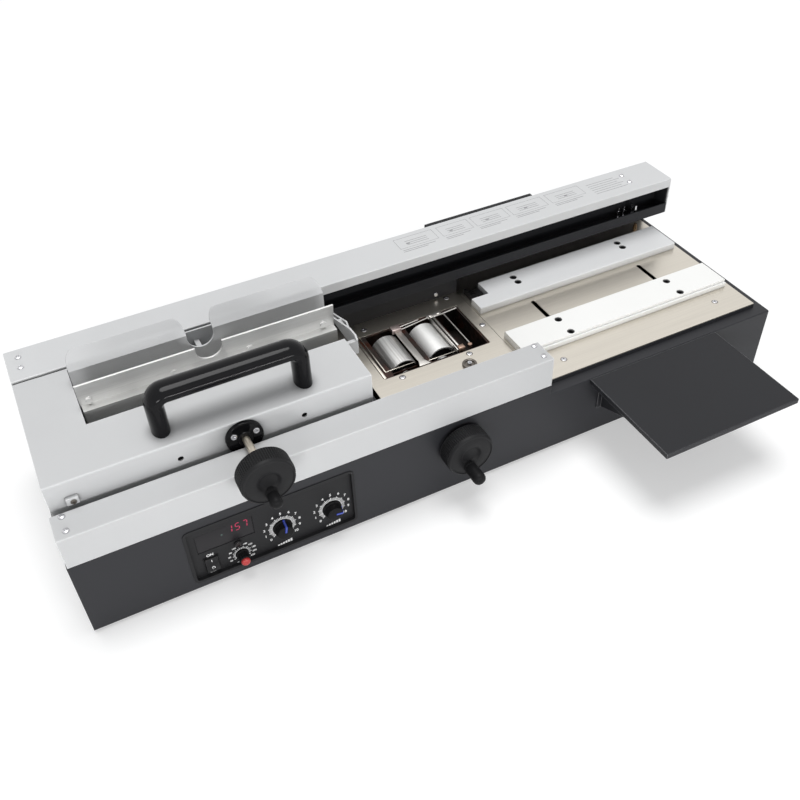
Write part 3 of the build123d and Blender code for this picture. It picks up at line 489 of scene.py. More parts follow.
def finish_for(slot):
    """The finish of one material slot of the record, or a finish of this file's own."""
    palette = colours()
    grey, black = tuple(palette.cover_grey), tuple(palette.base_black)
    steel, plastic = tuple(palette.deck_steel), tuple(palette.plastic_black)
    # The covers' wide, near-white edge lines are a painted highlight along their folds.
    coat = {"rough": (0.32, 0.42), "grain": 1300.0, "relief": 0.00006, "edge_wear_and_highlight": 1.0, "depth": 0.035, "rim": 0.0014}
    makers = {
        # Painted shade in gaps (shut 0.7) and faintly lighter edges, part rubbed paint and part painted highlight.
        "base_black": lambda: painted("Base satin black", black, (0.36, 0.48), grain=1700.0, relief=0.00005, edge_wear_and_highlight=0.35,
                                      worn=(0.16, 0.16, 0.165), gloss=0.22, depth=0.10, painted_gap_shade=0.7),
        # Its rim carries a painted highlight: the edge line is wide and light.
        "tray_black": lambda: painted("Side tray black", shade(black, 0.75), (0.36, 0.48), grain=1700.0,
                                      relief=0.00005, edge_wear_and_highlight=1.0, worn=(0.24, 0.24, 0.25), gloss=0.18, depth=0.10,
                                      rim=0.0014),
        "channel_black": lambda: painted("Rail channel black", shade(black, 0.75), (0.42, 0.55), gloss=0.2),
        "box_black": lambda: painted("Rear box black", shade(black, 0.40), (0.45, 0.58), gloss=0.2),
        "motor_zinc": lambda: painted("Motor black", (0.03, 0.03, 0.033), (0.4, 0.5)),
        # Both covers have the same paint: the front copy is darkened as painted shade and the rear copy lightened as
        # painted light.
        "front_cover": lambda: painted("Front cover powder coat", shade(grey, 0.94), worn=(0.97, 0.97, 0.97), **coat),
        "rear_cover": lambda: painted("Rear cover powder coat", shade(grey, 1.12), worn=(0.98, 0.98, 0.98), **coat),
        # Its wide light edge line is a painted highlight along the top front fold.
        "carriage_grey": lambda: painted("Carriage powder coat", shade(grey, 1.02), (0.36, 0.48), grain=1300.0,
                                         relief=0.00006, edge_wear_and_highlight=0.8, worn=(0.95, 0.95, 0.95), depth=0.035, rim=0.0013),
        "jaw_grey": lambda: painted("Rear jaw powder coat", shade(grey, 1.03), (0.36, 0.48), grain=1300.0,
                                    relief=0.00005, edge_wear_and_highlight=0.4, worn=(0.85, 0.85, 0.85), depth=0.04),
        "nip_grey": lambda: painted("Nip plate grey", shade(grey, 1.26), (0.30, 0.42), grain=1100.0, edge_wear_and_highlight=0.4,
                                    worn=(0.85, 0.84, 0.80), depth=0.04),
        "nip_white": lambda: painted("Nip plate white", tuple(palette.nip_white), (0.28, 0.38), grain=1100.0,
                                     edge_wear_and_highlight=0.3, worn=(0.9, 0.9, 0.9), depth=0.03),
        "rail_steel": lambda: machined("Ground rail", (0.60, 0.60, 0.61), (0.14, 0.24)),
        "screw_steel": lambda: machined("Bright screw steel", (0.62, 0.62, 0.64), (0.18, 0.32)),
        "dark_steel": lambda: machined("Darkened steel", (0.16, 0.145, 0.13), (0.36, 0.5)),
        "zinc_plate": lambda: machined("Darkened bracket", (0.07, 0.07, 0.07), (0.30, 0.45)),
        "slide_alloy": lambda: machined("Slide alloy", (0.48, 0.48, 0.48), (0.30, 0.45)),
        "shaft_steel": lambda: machined("Warm polished shaft", (0.86, 0.78, 0.66), (0.30, 0.42)),
        "guide_alloy": lambda: machined("Guide alloy", (0.44, 0.44, 0.45), (0.30, 0.45)),
        "heater_alloy": lambda: machined("Heater alloy", (0.42, 0.41, 0.40), (0.35, 0.5)),
        "gear_brass": lambda: machined("Gear brass", (0.62, 0.46, 0.20), (0.24, 0.38)),
        "stop_brass": lambda: machined("Browned stop", (0.32, 0.22, 0.13), (0.34, 0.50)),
        "deck_steel": lambda: brushed("Brushed deck steel", steel, rough=(0.25, 0.36)),
        # Darker and rougher than the deck steel.
        "platen_steel": lambda: brushed("Worn platen steel", shade(steel, 0.5), rough=(0.56, 0.68)),
        "divider_steel": lambda: brushed("Brushed divider", (0.60, 0.58, 0.55), (900.0, 8.0, 900.0), (0.34, 0.48)),
        "jaw_dark": lambda: brushed("Brushed jaw body", (0.60, 0.60, 0.59), (7.0, 900.0, 1100.0), (0.36, 0.50)),
        "jaw_silver": lambda: brushed("Brushed jaw plate", (0.74, 0.74, 0.73), (7.0, 900.0, 1100.0), (0.36, 0.50)),
        "roller_steel": lambda: brushed("Turned roller steel", (0.84, 0.83, 0.80), (420.0, 4.0, 420.0), (0.34, 0.48),
                                        relief=0.00001, contrast=2.4, depth=0.40, tint=(0.76, 0.75, 0.72)),
        "tank_cast": lambda: glue_stained("Tank casting", (0.035, 0.030, 0.028), (0.040, 0.012, 0.006)),
        "rubber_black": lambda: moulded("Foot rubber", (0.02, 0.02, 0.02), (0.65, 0.8), grain=700.0, relief=0.0001),
        "wheel_black": lambda: moulded("Handwheel plastic", shade(plastic, 0.9), (0.44, 0.56)),
        "grip_black": lambda: moulded("Grip plastic", shade(plastic, 0.6), (0.42, 0.54), grain=900.0, relief=0.00003,
                                      gloss=0.1),
        "panel_black": lambda: moulded("Panel plastic", shade(plastic, 1.25), (0.40, 0.50), grain=2200.0,
                                       relief=0.00003, edge_wear_and_highlight=0.15),
        "switch_black": lambda: moulded("Switch plastic", plastic, (0.45, 0.55)),
        "knob_black": lambda: moulded("Knob plastic", shade(plastic, 0.5), (0.42, 0.54), gloss=0.12),
        "rocker_black": lambda: moulded("Rocker plastic", plastic, (0.24, 0.34), grain=1200.0, relief=0.00002),
        "board_green": lambda: moulded("Circuit board", (0.02, 0.10, 0.04), (0.35, 0.5)),
        "display_red": lambda: smoked_window("Display filter"),
        "handle_black": lambda: glossy_black("Handle gloss"),
    }
    return makers[slot]()


# ---------------------------------------------------------------- mesh helpers


def add_piece(name, bm, body, slot, material=None, stands_for=(), crease=32):
    """Turn a drawing in millimetres into a piece that rides on a body."""
    bm.transform(TO_FRAME)
    bmesh.ops.remove_doubles(bm, verts=bm.verts, dist=1e-7)
    bmesh.ops.recalc_face_normals(bm, faces=bm.faces)
    mesh = bpy.data.meshes.new(name)
    bm.to_mesh(mesh)
    bm.free()
    for face in mesh.polygons:
        face.use_smooth = True
    mesh.set_sharp_from_angle(angle=math.radians(crease))
    mesh.materials.append(material or finish_for(slot))
    piece = bpy.data.objects.new(name, mesh)
    bpy.context.scene.collection.objects.link(piece)
    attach(piece, body)
    if stands_for:
        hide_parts(*stands_for)
    return piece


RIB_SHAPE = (0.0, 0.0, 0.15, 1.0, 1.0, 0.15)     # share of the groove's depth, once round a rib


def spin(bm, outline, centre, axis="Y", segments=64, ribs=0, depth=0.0, ribbed=()):
    """Turn (radius, along) points about an axis; rows named in ribbed get grooves."""
    rows = []
    steps = ribs * len(RIB_SHAPE) if ribs else segments
    for row, (radius, along) in enumerate(outline):
        if radius < 1e-6:
            ring = [(0.0, 0.0)]
        else:
            ring = []
            for i in range(steps):
                turn = 2 * math.pi * i / steps
                r = radius
                if row in ribbed:
                    r -= depth * RIB_SHAPE[i % len(RIB_SHAPE)]
                ring.append((r * math.cos(turn), r * math.sin(turn)))
        verts = []
        for a, b in ring:
            if axis == "Y":
                spot = (centre[0] + a, along, centre[2] + b)
            elif axis == "Z":
                spot = (centre[0] + a, centre[1] + b, along)
            else:
                spot = (along, centre[1] + a, centre[2] + b)
            verts.append(bm.verts.new(spot))
        rows.append(verts)
    for one, two in zip(rows, rows[1:]):
        if len(one) == 1 and len(two) == 1:
            continue
        for i in range(steps):
            j = (i + 1) % steps
            if len(one) == 1:
                bm.faces.new((one[0], two[i], two[j]))
            elif len(two) == 1:
                bm.faces.new((one[i], one[j], two[0]))
            else:
                bm.faces.new((one[i], one[j], two[j], two[i]))
    return bm


def rounded_outline(points, radius, steps=5):
    """Corners of a closed outline turned into arcs."""
    outline = []
    count = len(points)
    for i, point in enumerate(points):
        here = Vector(point)
        before, after = Vector(points[i - 1]), Vector(points[(i + 1) % count])
        into, out = (before - here).normalized(), (after - here).normalized()
        half = into.angle(out) / 2
        run = min(radius / math.tan(half), (before - here).length * 0.49, (after - here).length * 0.49)
        r = run * math.tan(half)
        start, end = here + into * run, here + out * run
        middle = here + (into + out).normalized() * (r / math.sin(half))
        a0 = math.atan2(*(start - middle).yx)
        a1 = math.atan2(*(end - middle).yx)
        turn = (a1 - a0 + math.pi) % (2 * math.pi) - math.pi
        for k in range(steps + 1):
            angle = a0 + turn * k / steps
            outline.append(middle + Vector((math.cos(angle), math.sin(angle))) * r)
    return outline


def edges_at(verts):
    """The edges that meet at some corners, each once and in the same order on every run."""
    return list(dict.fromkeys(edge for vert in verts for edge in vert.link_edges))


def extruded(bm, outline, plane, low, high, bevel=0.0, segments=2):
    """Push an outline along the plane's normal and soften its rims. plane is XZ, YZ or XY."""
    def spot(p, along):
        return {"XZ": (p[0], along, p[1]), "YZ": (along, p[0], p[1]), "XY": (p[0], p[1], along)}[plane]
    near = [bm.verts.new(spot(p, low)) for p in outline]
    far = [bm.verts.new(spot(p, high)) for p in outline]
    count = len(outline)
    faces = [bm.faces.new(near), bm.faces.new(list(reversed(far)))]
    for i in range(count):
        j = (i + 1) % count
        faces.append(bm.faces.new((near[i], near[j], far[j], far[i])))
    bmesh.ops.recalc_face_normals(bm, faces=faces)
    if bevel > 0:
        rims = [e for ring in (near, far) for e in edges_at(ring) if e.verts[0] in ring and e.verts[1] in ring]
        bmesh.ops.bevel(bm, geom=rims, offset=bevel, segments=segments, affect="EDGES", profile=0.5,
                        clamp_overlap=True)
    return bm


def slab(bm, x0, x1, y0, y1, z0, z1, bevel=0.3, segments=2):
    """Plate with every edge broken."""
    made = bmesh.ops.create_cube(bm, size=1.0)
    verts = made["verts"]
    for v in verts:
        v.co = ((x0 + x1) / 2 + v.co.x * (x1 - x0), (y0 + y1) / 2 + v.co.y * (y1 - y0),
                (z0 + z1) / 2 + v.co.z * (z1 - z0))
    if bevel > 0:
        bmesh.ops.bevel(bm, geom=edges_at(verts), offset=bevel, segments=segments, affect="EDGES", profile=0.5,
                        clamp_overlap=True)
    return bm


def soften(node, width=0.0005, segments=2):
    """Break the sharp edges of a part of the frame."""
    part = NODES[node]
    weld = part.modifiers.new("Weld", "WELD")
    weld.merge_threshold = 0.000002
    flat = part.modifiers.new("Flat faces", "DECIMATE")
    flat.decimate_type = "DISSOLVE"
    flat.angle_limit = math.radians(1.0)
    edge = part.modifiers.new("Folded edges", "BEVEL")
    edge.width = width
    edge.segments = segments
    edge.limit_method = "ANGLE"
    edge.angle_limit = math.radians(30)
    even = part.modifiers.new("Even shading", "WEIGHTED_NORMAL")
    even.mode = "FACE_AREA_WITH_ANGLE"
    even.keep_sharp = True
    for face in part.data.polygons:
        face.use_smooth = True


def swept(bm, path, width, depth, plane_up, segments=28):
    """Oval bar along a path of (point, tangent) pairs; width lies in the path's plane."""
    rings = []
    for point, tangent in path:
        point, tangent = Vector(point), Vector(tangent).normalized()
        side_way = tangent.cross(plane_up).normalized()
        ring = []
        for i in range(segments):
            turn = 2 * math.pi * i / segments
            ring.append(bm.verts.new(point + side_way * (width * math.cos(turn))
                                     + plane_up * (depth * math.sin(turn))))
        rings.append(ring)
    for one, two in zip(rings, rings[1:]):
        for i in range(segments):
            j = (i + 1) % segments
            bm.faces.new((one[i], one[j], two[j], two[i]))
    bm.faces.new(rings[0])
    bm.faces.new(list(reversed(rings[-1])))
    return bm


def letters(text, height, x, z, y, weight=0.05):
    """Flat printed characters on the panel, standing 0.05 mm proud."""
    curve = bpy.data.curves.new("Lettering", "FONT")
    curve.body = text
    curve.size = height
    curve.align_x = "CENTER"
    curve.align_y = "CENTER"
    curve.extrude = 0.05
    curve.offset = weight
    curve.resolution_u = 3
    holder = bpy.data.objects.new("Lettering", curve)
    bpy.context.scene.collection.objects.link(holder)
    bpy.context.view_layer.update()
    mesh = bpy.data.meshes.new_from_object(holder.evaluated_get(bpy.context.evaluated_depsgraph_get()))
    bpy.data.objects.remove(holder)
    bm = bmesh.new()
    bm.from_mesh(mesh)
    bpy.data.meshes.remove(mesh)
    bm.transform(Matrix.Translation((x, y, z)) @ Matrix.Rotation(math.radians(90), 4, "X"))
    return bm


def joined(target, source):
    """Copy one drawing into another."""
    mesh = bpy.data.meshes.new("drawing")
    source.to_mesh(mesh)
    source.free()
    target.from_mesh(mesh)
    bpy.data.meshes.remove(mesh)
    return target


def dial_spot(centre, radius, turn):
    return centre[0] + radius * math.cos(turn), centre[1] + radius * math.sin(turn)


# ---------------------------------------------------------------- stage


# Lamps stand in the frame's metres; all panels look at the same spot.
TOP_LIGHT_FROM = (0.04, 0.10, 1.0)
TOP_LIGHT_WIDTH = 32        # apparent width in degrees
FRONT_LIGHT_AT, FRONT_LIGHT_SIZE = (-1.05, -1.42, 0.50), (0.42, 0.20)
STRIP_LIGHT_AT, STRIP_LIGHT_SIZE = (-0.02, -1.46, 0.35), (0.60, 0.07)
LIGHTS_LOOK_AT = (-0.05, 0.0, 0.12)
FLOOR_WHITE = 1.2           # strength of the white mixed into the floor
FLOOR_WHITE_SHARE = 0.33
FLOOR_REACH = 6


class BINDER_OT_stage(bpy.types.Operator):
    """Camera at the photograph's angle, pale floor, white surroundings and soft studio lamps"""
    bl_idname = "binder.stage"
    bl_label = "Stage"

    def execute(self, context):
        scene = context.scene
        scene.view_settings.view_transform = "Standard"
        settings = scene.binder_stage
        self.make_camera(scene, settings)
        self.make_floor(scene)
        self.make_sky(scene, settings.sky)
        self.make_sun(scene, "Top light", TOP_LIGHT_FROM, settings.top_sun)
        self.make_panel(scene, "Front light", FRONT_LIGHT_AT, FRONT_LIGHT_SIZE, settings.front_power)
        self.make_panel(scene, "Low strip light", STRIP_LIGHT_AT, STRIP_LIGHT_SIZE, settings.strip_power)
        return {"FINISHED"}

    def make_camera(self, scene, settings):
        a, e, r = settings.azimuth, settings.elevation, settings.roll
        back = Vector((math.sin(a) * math.cos(e), -math.cos(a) * math.cos(e), math.sin(e)))
        right = Vector((math.cos(a), math.sin(a), 0))
        up = back.cross(right)
        right, up = (right * math.cos(r) + up * math.sin(r)), (up * math.cos(r) - right * math.sin(r))
        data = bpy.data.cameras.new("Camera")
        data.sensor_width = 36.0
        data.lens = settings.lens
        data.clip_start = 0.05
        data.clip_end = 50.0
        camera = bpy.data.objects.new("Camera", data)
        turn = Matrix((right, up, back)).transposed().to_4x4()
        camera.matrix_world = Matrix.Translation(settings.camera_at) @ turn
        scene.collection.objects.link(camera)
        scene.camera = camera

    def make_floor(self, scene):
        mesh = bpy.data.meshes.new("Floor")
        r = FLOOR_REACH
        mesh.from_pydata([(-r, -r, 0), (r, -r, 0), (r, r, 0), (-r, r, 0)], [], [(0, 1, 2, 3)])
        material, surface = start_material("Pale floor", 0.9)
        tree = material.node_tree
        field = place_group(material, grain_group(), Grain_Scale=60.0, Mottle_Scale=0.6)
        tree.links.new(mixed(material, field.outputs["Mottle"], (0.94, 0.94, 0.94), (0.96, 0.96, 0.96)),
                       surface.inputs["Base Color"])
        surface.inputs["Specular IOR Level"].default_value = 0.1
        self.lighten_for_camera(tree, surface)
        mesh.materials.append(material)
        floor = bpy.data.objects.new("Floor", mesh)
        scene.collection.objects.link(floor)

    def background_rays(self, tree, *rays):
        """Mask of the rays that see the bright background."""
        path = tree.nodes.new("ShaderNodeLightPath")
        seen = path.outputs["Is Camera Ray"]
        for ray in rays:
            seen = arithmetic(tree, "MAXIMUM", seen, path.outputs[ray])
        return seen

    def lighten_for_camera(self, tree, surface):
        """Mix white into what the camera and mirror-like rays see of the floor, so that its shadows stay light."""
        share = arithmetic(tree, "MULTIPLY", self.background_rays(tree, "Is Glossy Ray"), FLOOR_WHITE_SHARE)
        white = tree.nodes.new("ShaderNodeEmission")
        white.inputs["Strength"].default_value = FLOOR_WHITE
        mix = tree.nodes.new("ShaderNodeMixShader")
        tree.links.new(share, mix.inputs["Fac"])
        tree.links.new(surface.outputs[0], mix.inputs[1])
        tree.links.new(white.outputs[0], mix.inputs[2])
        tree.links.new(mix.outputs[0], tree.nodes["Material Output"].inputs["Surface"])

    def make_sky(self, scene, strength):
        world = bpy.data.worlds.new("Studio")
        world.use_nodes = True
        scene.world = world
        tree = world.node_tree
        tree.nodes.clear()
        out = tree.nodes.new("ShaderNodeOutputWorld")
        mix = tree.nodes.new("ShaderNodeMixShader")
        light = tree.nodes.new("ShaderNodeBackground")
        light.inputs["Color"].default_value = (0.97, 0.985, 1.0, 1)
        light.inputs["Strength"].default_value = strength
        white = tree.nodes.new("ShaderNodeBackground")
        white.inputs["Color"].default_value = (1, 1, 1, 1)
        white.inputs["Strength"].default_value = 1.0
        shown = self.background_rays(tree, "Is Glossy Ray", "Is Transmission Ray")
        tree.links.new(shown, mix.inputs["Fac"])
        tree.links.new(light.outputs[0], mix.inputs[1])
        tree.links.new(white.outputs[0], mix.inputs[2])
        tree.links.new(mix.outputs[0], out.inputs["Surface"])

    def make_sun(self, scene, name, towards, strength):
        """Parallel light that comes from a direction."""
        data = bpy.data.lights.new(name, "SUN")
        data.energy = strength
        data.angle = math.radians(TOP_LIGHT_WIDTH)
        self.place_lamp(scene, name, data, Vector(towards) * 2, Vector(towards))

    def make_panel(self, scene, name, spot, size, power):
        """Rectangular light panel that looks at the middle of the machine."""
        data = bpy.data.lights.new(name, "AREA")
        data.shape = "RECTANGLE"
        data.size, data.size_y = size
        data.energy = power
        self.place_lamp(scene, name, data, spot, Vector(spot) - Vector(LIGHTS_LOOK_AT))

    def place_lamp(self, scene, name, data, spot, away):
        """Stand a lamp at a spot; it shines against the direction away."""
        lamp = bpy.data.objects.new(name, data)
        lamp.location = spot
        lamp.rotation_mode = "QUATERNION"
        lamp.rotation_quaternion = away.to_track_quat("Z", "Y")
        scene.collection.objects.link(lamp)


# ---------------------------------------------------------------- finishes of the frame


SHEET_PARTS = ("base_shell", "front_rail_cover", "rear_rail_cover", "rear_rail_channel", "carriage_housing",
               "rear_box", "side_tray", "table_plate", "tank_cover_plate", "rear_nip_plate",
               "front_nip_plate", "jaw_plate", "rear_jaw", "table_plinth", "cross_frame", "loading_deck")


# Parts whose finish isn't that of their material slot.
OWN_FINISH = {"clamp_screw": "shaft_steel", "front_rail_cover": "front_cover", "rear_rail_cover": "rear_cover",
              "loading_platen": "platen_steel"}


class BINDER_OT_finishes(bpy.types.Operator):
    """Give every part of the frame its finish and break the edges of the sheet metal"""
    bl_idname = "binder.finishes"
    bl_label = "Frame finishes"

    def execute(self, context):
        for part in frame["record"]["subparts"]:
            node = NODES[part["node"]]
            finish = finish_for(OWN_FINISH.get(part["node"], part["material_slot"]))
            node.data.materials.clear()
            node.data.materials.append(finish)
        for name in SHEET_PARTS:
            soften(name)
        return {"FINISHED"}


# ---------------------------------------------------------------- handwheels


def wheel_drawing(centre, y_front, y_back, pin, pin_tip):
    """Ribbed rim, plain band and step before the face, the sunk hub and the boss with its pin.

    y_front and y_back are the wheel's two sides.
    """
    wheels = bpy.context.scene.binder_handwheels
    r, dish_r = wheels.rim_radius, wheels.dish_radius
    floor = y_front + wheels.dish
    outline = [
        (0.0, y_back), (9.0, y_back), (10.5, y_back - 0.8), (11.0, y_back - 2.8), (14.0, y_back - 3.2),
        (r - 4.5, y_back - 3.2), (r - 2.4, y_back - 2.2), (r - 0.9, y_back - 2.2), (r - 0.2, y_back - 2.8),
        (r, y_back - 3.4), (r, y_back - 4.2), (r, y_front + 5.4), (r, y_front + 4.6), (r - 0.5, y_front + 4.2),
        (r - 0.9, y_front + 2.2), (r - 1.3, y_front + 0.9), (r - 2.0, y_front + 0.2), (r - 2.8, y_front),
        (r - 3.3, y_front + 0.15), (r - 3.5, y_front + 0.75), (r - 4.1, y_front + 0.8), (r - 4.6, y_front + 0.45),
        (dish_r + 1.2, y_front + 0.7), (dish_r + 0.3, y_front + 0.95), (dish_r - 0.3, y_front + 1.6),
        (dish_r - 1.4, floor - 1.0), (dish_r - 2.4, floor - 0.3), (dish_r - 3.6, floor), (4.0, floor + 0.1),
        (0.0, floor + 0.2)]
    ribbed = [row for row, (radius, along) in enumerate(outline) if radius == r]
    bm = bmesh.new()
    spin(bm, outline, (centre[0], 0, centre[1]), ribs=wheels.teeth, depth=wheels.rib_depth, ribbed=ribbed)
    boss = bmesh.new()
    spin(boss, [(0, floor + 0.6), (6.9, floor + 0.6), (6.6, y_front + 0.2), (6.1, y_front - 0.25),
                (2.5, y_front - 0.3), (2.5, pin_tip), (2.0, pin_tip - 0.5), (0, pin_tip - 0.5)],
         (pin[0], 0, pin[1]), segments=40)
    return joined(bm, boss)


class BINDER_OT_handwheels(bpy.types.Operator):
    """Both handwheels: ribbed rim, flat face, sunk hub and the boss its grip turns on"""
    bl_idname = "binder.handwheels"
    bl_label = "Handwheels"

    def execute(self, context):
        add_piece("clamp_handwheel", wheel_drawing(CLAMP_AXIS, -34.0, -9.5, CLAMP_PIN, -48.5), "clamp_drive",
                  "wheel_black", stands_for=("clamp_wheel",), crease=40)
        add_piece("nip_handwheel", wheel_drawing(NIP_AXIS, -26.8, -2.3, NIP_PIN, -49.3), "nip_drive",
                  "wheel_black", stands_for=("nip_wheel",), crease=40)
        return {"FINISHED"}


def grip_drawing(pin, y_tip, y_root, radius):
    """Nearly straight grip with a crowned end and a collar at its root, bored for the pin."""
    outline = [(0, y_tip), (radius * 0.32, y_tip + 0.25), (radius * 0.60, y_tip + 1.0),
               (radius * 0.82, y_tip + 2.3), (radius * 0.95, y_tip + 4.2), (radius * 1.0, y_tip + 7.5),
               (radius * 0.96, y_root - 5.0), (radius * 0.95, y_root - 2.4), (radius * 0.90, y_root - 2.0),
               (radius * 0.90, y_root - 1.6), (radius * 0.98, y_root - 1.2), (radius * 0.98, y_root - 0.3),
               (radius * 0.94, y_root), (2.55, y_root), (2.55, y_tip + 4.0), (0, y_tip + 4.0)]
    bm = bmesh.new()
    return spin(bm, outline, (pin[0], 0, pin[1]), segments=56)


class BINDER_OT_grips(bpy.types.Operator):
    """Turning grips of both handwheels"""
    bl_idname = "binder.grips"
    bl_label = "Handwheel grips"

    def execute(self, context):
        add_piece("clamp_crank_grip", grip_drawing(CLAMP_PIN, -54.0, -34.6, 6.9), "clamp_crank", "grip_black",
                  stands_for=("clamp_grip",))
        add_piece("nip_crank_grip", grip_drawing(NIP_PIN, -55.0, -27.4, 8.0), "nip_crank", "grip_black",
                  stands_for=("nip_grip",))
        return {"FINISHED"}


# ---------------------------------------------------------------- carriage handle


class BINDER_OT_handle(bpy.types.Operator):
    """Gloss black bow handle on the carriage"""
    bl_idname = "binder.handle"
    bl_label = "Carriage handle"

    def execute(self, context):
        x0, x1, y, high, bend = 132.0, 292.0, 72.0, 228.0, 13.0
        low, leg = CARRIAGE_TOP, high - bend - CARRIAGE_TOP
        path = [((x0, y, low + leg * k / 6), (0, 0, 1)) for k in range(7)]
        for k in range(1, 13):
            a = math.pi * (1 - k / 24)
            path.append(((x0 + bend + bend * math.cos(a), y, high - bend + bend * math.sin(a)),
                         (math.sin(a), 0, -math.cos(a))))
        path += [((x0 + bend + (x1 - x0 - 2 * bend) * k / 9, y, high), (1, 0, 0)) for k in range(1, 9)]
        for k in range(13):
            a = math.pi / 2 * (1 - k / 12)
            path.append(((x1 - bend + bend * math.cos(a), y, high - bend + bend * math.sin(a)),
                         (math.sin(a), 0, -math.cos(a))))
        path += [((x1, y, high - bend - leg * k / 6), (0, 0, -1)) for k in range(1, 7)]
        bm = bmesh.new()
        swept(bm, path, 10.0, 15.0, Vector((0, 1, 0)), 40)
        add_piece("bow_handle", bm, "carriage", "handle_black", stands_for=("carriage_handle",), crease=50)
        return {"FINISHED"}


# ---------------------------------------------------------------- control panel


def arc_band(bm, centre, inner, outer, start, sweep, steps, y_face, thick=INK):
    """Printed arc, clockwise from start as seen from the front."""
    rings = []
    for i in range(steps + 1):
        turn = start - sweep * i / steps
        ring = []
        for radius, y in ((inner, y_face), (outer, y_face), (outer, y_face - thick), (inner, y_face - thick)):
            x, z = dial_spot(centre, radius, turn)
            ring.append(bm.verts.new((x, y, z)))
        rings.append(ring)
    for one, two in zip(rings, rings[1:]):
        for i in range(4):
            j = (i + 1) % 4
            bm.faces.new((one[i], one[j], two[j], two[i]))
    if sweep < 2 * math.pi - 1e-6:
        bm.faces.new(rings[0])
        bm.faces.new(list(reversed(rings[-1])))


def tick(bm, centre, inner, outer, turn, width):
    """Printed mark of a dial, pointing at its centre."""
    along = Vector((math.cos(turn), math.sin(turn)))
    across = Vector((-along.y, along.x)) * width / 2
    corners = [Vector(centre) + along * inner - across, Vector(centre) + along * outer - across,
               Vector(centre) + along * outer + across, Vector(centre) + along * inner + across]
    extruded(bm, corners, "XZ", PANEL_FACE - INK, PANEL_FACE)


class BINDER_OT_panel(bpy.types.Operator):
    """Dial scales, switch words and lamp of the control panel, and its softened bezel"""
    bl_idname = "binder.panel"
    bl_label = "Control panel"

    def execute(self, context):
        dials = context.scene.binder_dials
        bm = bmesh.new()
        start = math.pi / 2 + dials.sweep / 2
        for key in ("speed_dial", "timer_dial"):
            self.dial_scale(bm, DIALS[key], dials, start)
            self.rising_bars(bm, DIALS[key][0])
        self.thermostat_scale(bm, DIALS["thermostat"], dials, start)
        joined(bm, letters("ON", 5.2, 138.8, 42.0, PANEL_FACE, 0.16))
        joined(bm, letters("OFF", 4.6, 138.2, 14.7, PANEL_FACE, 0.16))
        add_piece("panel_print", bm, "base", "panel_black", panel_ink())
        self.pilot_lamp()
        soften("control_panel", 0.0006, 3)
        return {"FINISHED"}

    def dial_scale(self, bm, centre, dials, start):
        inner = dials.scale_radius
        arc_band(bm, centre, inner - 0.5, inner, start, dials.sweep, 60, PANEL_FACE)
        for i in range(41):
            long = i % 4 == 0
            tick(bm, centre, inner - 0.1, inner + (4.6 if long else 3.6), start - dials.sweep * i / 40,
                 1.0 if long else 0.75)
        for i in range(11):
            x, z = dial_spot(centre, dials.number_radius, start - dials.sweep * i / 10)
            joined(bm, letters(str(i), dials.number_height, x, z, PANEL_FACE, 0.14))

    def thermostat_scale(self, bm, centre, dials, start):
        arc_band(bm, centre, 7.9, 8.3, start, dials.sweep, 48, PANEL_FACE)
        for i in range(19):
            tick(bm, centre, 8.2, 11.2 if i % 2 == 0 else 10.0, start - math.radians(15 + 13.5 * i), 0.75)
        names_at = 14.6
        for i in range(10):
            x, z = dial_spot(centre, names_at, math.radians(204 - 27 * i))
            joined(bm, letters(str(40 + 20 * i), 3.3, x, z, PANEL_FACE, 0.1))
        x, z = dial_spot(centre, names_at, math.radians(244))
        spin(bm, [(0, PANEL_FACE), (1.6, PANEL_FACE), (1.6, PANEL_FACE - INK), (0, PANEL_FACE - INK)], (x, 0, z),
             segments=24)

    def rising_bars(self, bm, middle):
        """Six bars growing to the right under a dial, for less to more."""
        for i in range(6):
            x0 = middle - 9.0 + 3.1 * i
            points = [(x0, 12.6), (x0 + 2.3, 12.6), (x0 + 2.3, 14.6 + 0.55 * i), (x0, 14.2 + 0.55 * i)]
            extruded(bm, points, "XZ", PANEL_FACE - INK, PANEL_FACE)

    def pilot_lamp(self):
        lens = bmesh.new()
        x, z = PILOT_LAMP
        spin(lens, [(3.3, 1.0), (3.3, 0.7), (2.9, 0.35), (2.0, 0.1), (0, 0.02)], (x, 0, z), segments=32)
        bmesh.ops.holes_fill(lens, edges=[e for e in lens.edges if e.is_boundary])
        add_piece("pilot_lens", lens, "base", "display_red",
                  moulded("Unlit lamp lens", (0.012, 0.008, 0.009), (0.14, 0.24), grain=1200.0, relief=0.00001,
                          edge_wear_and_highlight=0.1, gloss=0.3))


# Ends of each display segment, as shares of a digit's width and height.
SEGMENTS = {"a": ((0.12, 1.0), (0.88, 1.0)), "b": ((0.93, 0.95), (0.93, 0.55)), "c": ((0.93, 0.45), (0.93, 0.05)),
            "d": ((0.12, 0.0), (0.88, 0.0)), "f": ((0.07, 0.95), (0.07, 0.55)), "g": ((0.12, 0.5), (0.88, 0.5))}
LIT = {"1": "bc", "5": "afgcd", "7": "abc"}


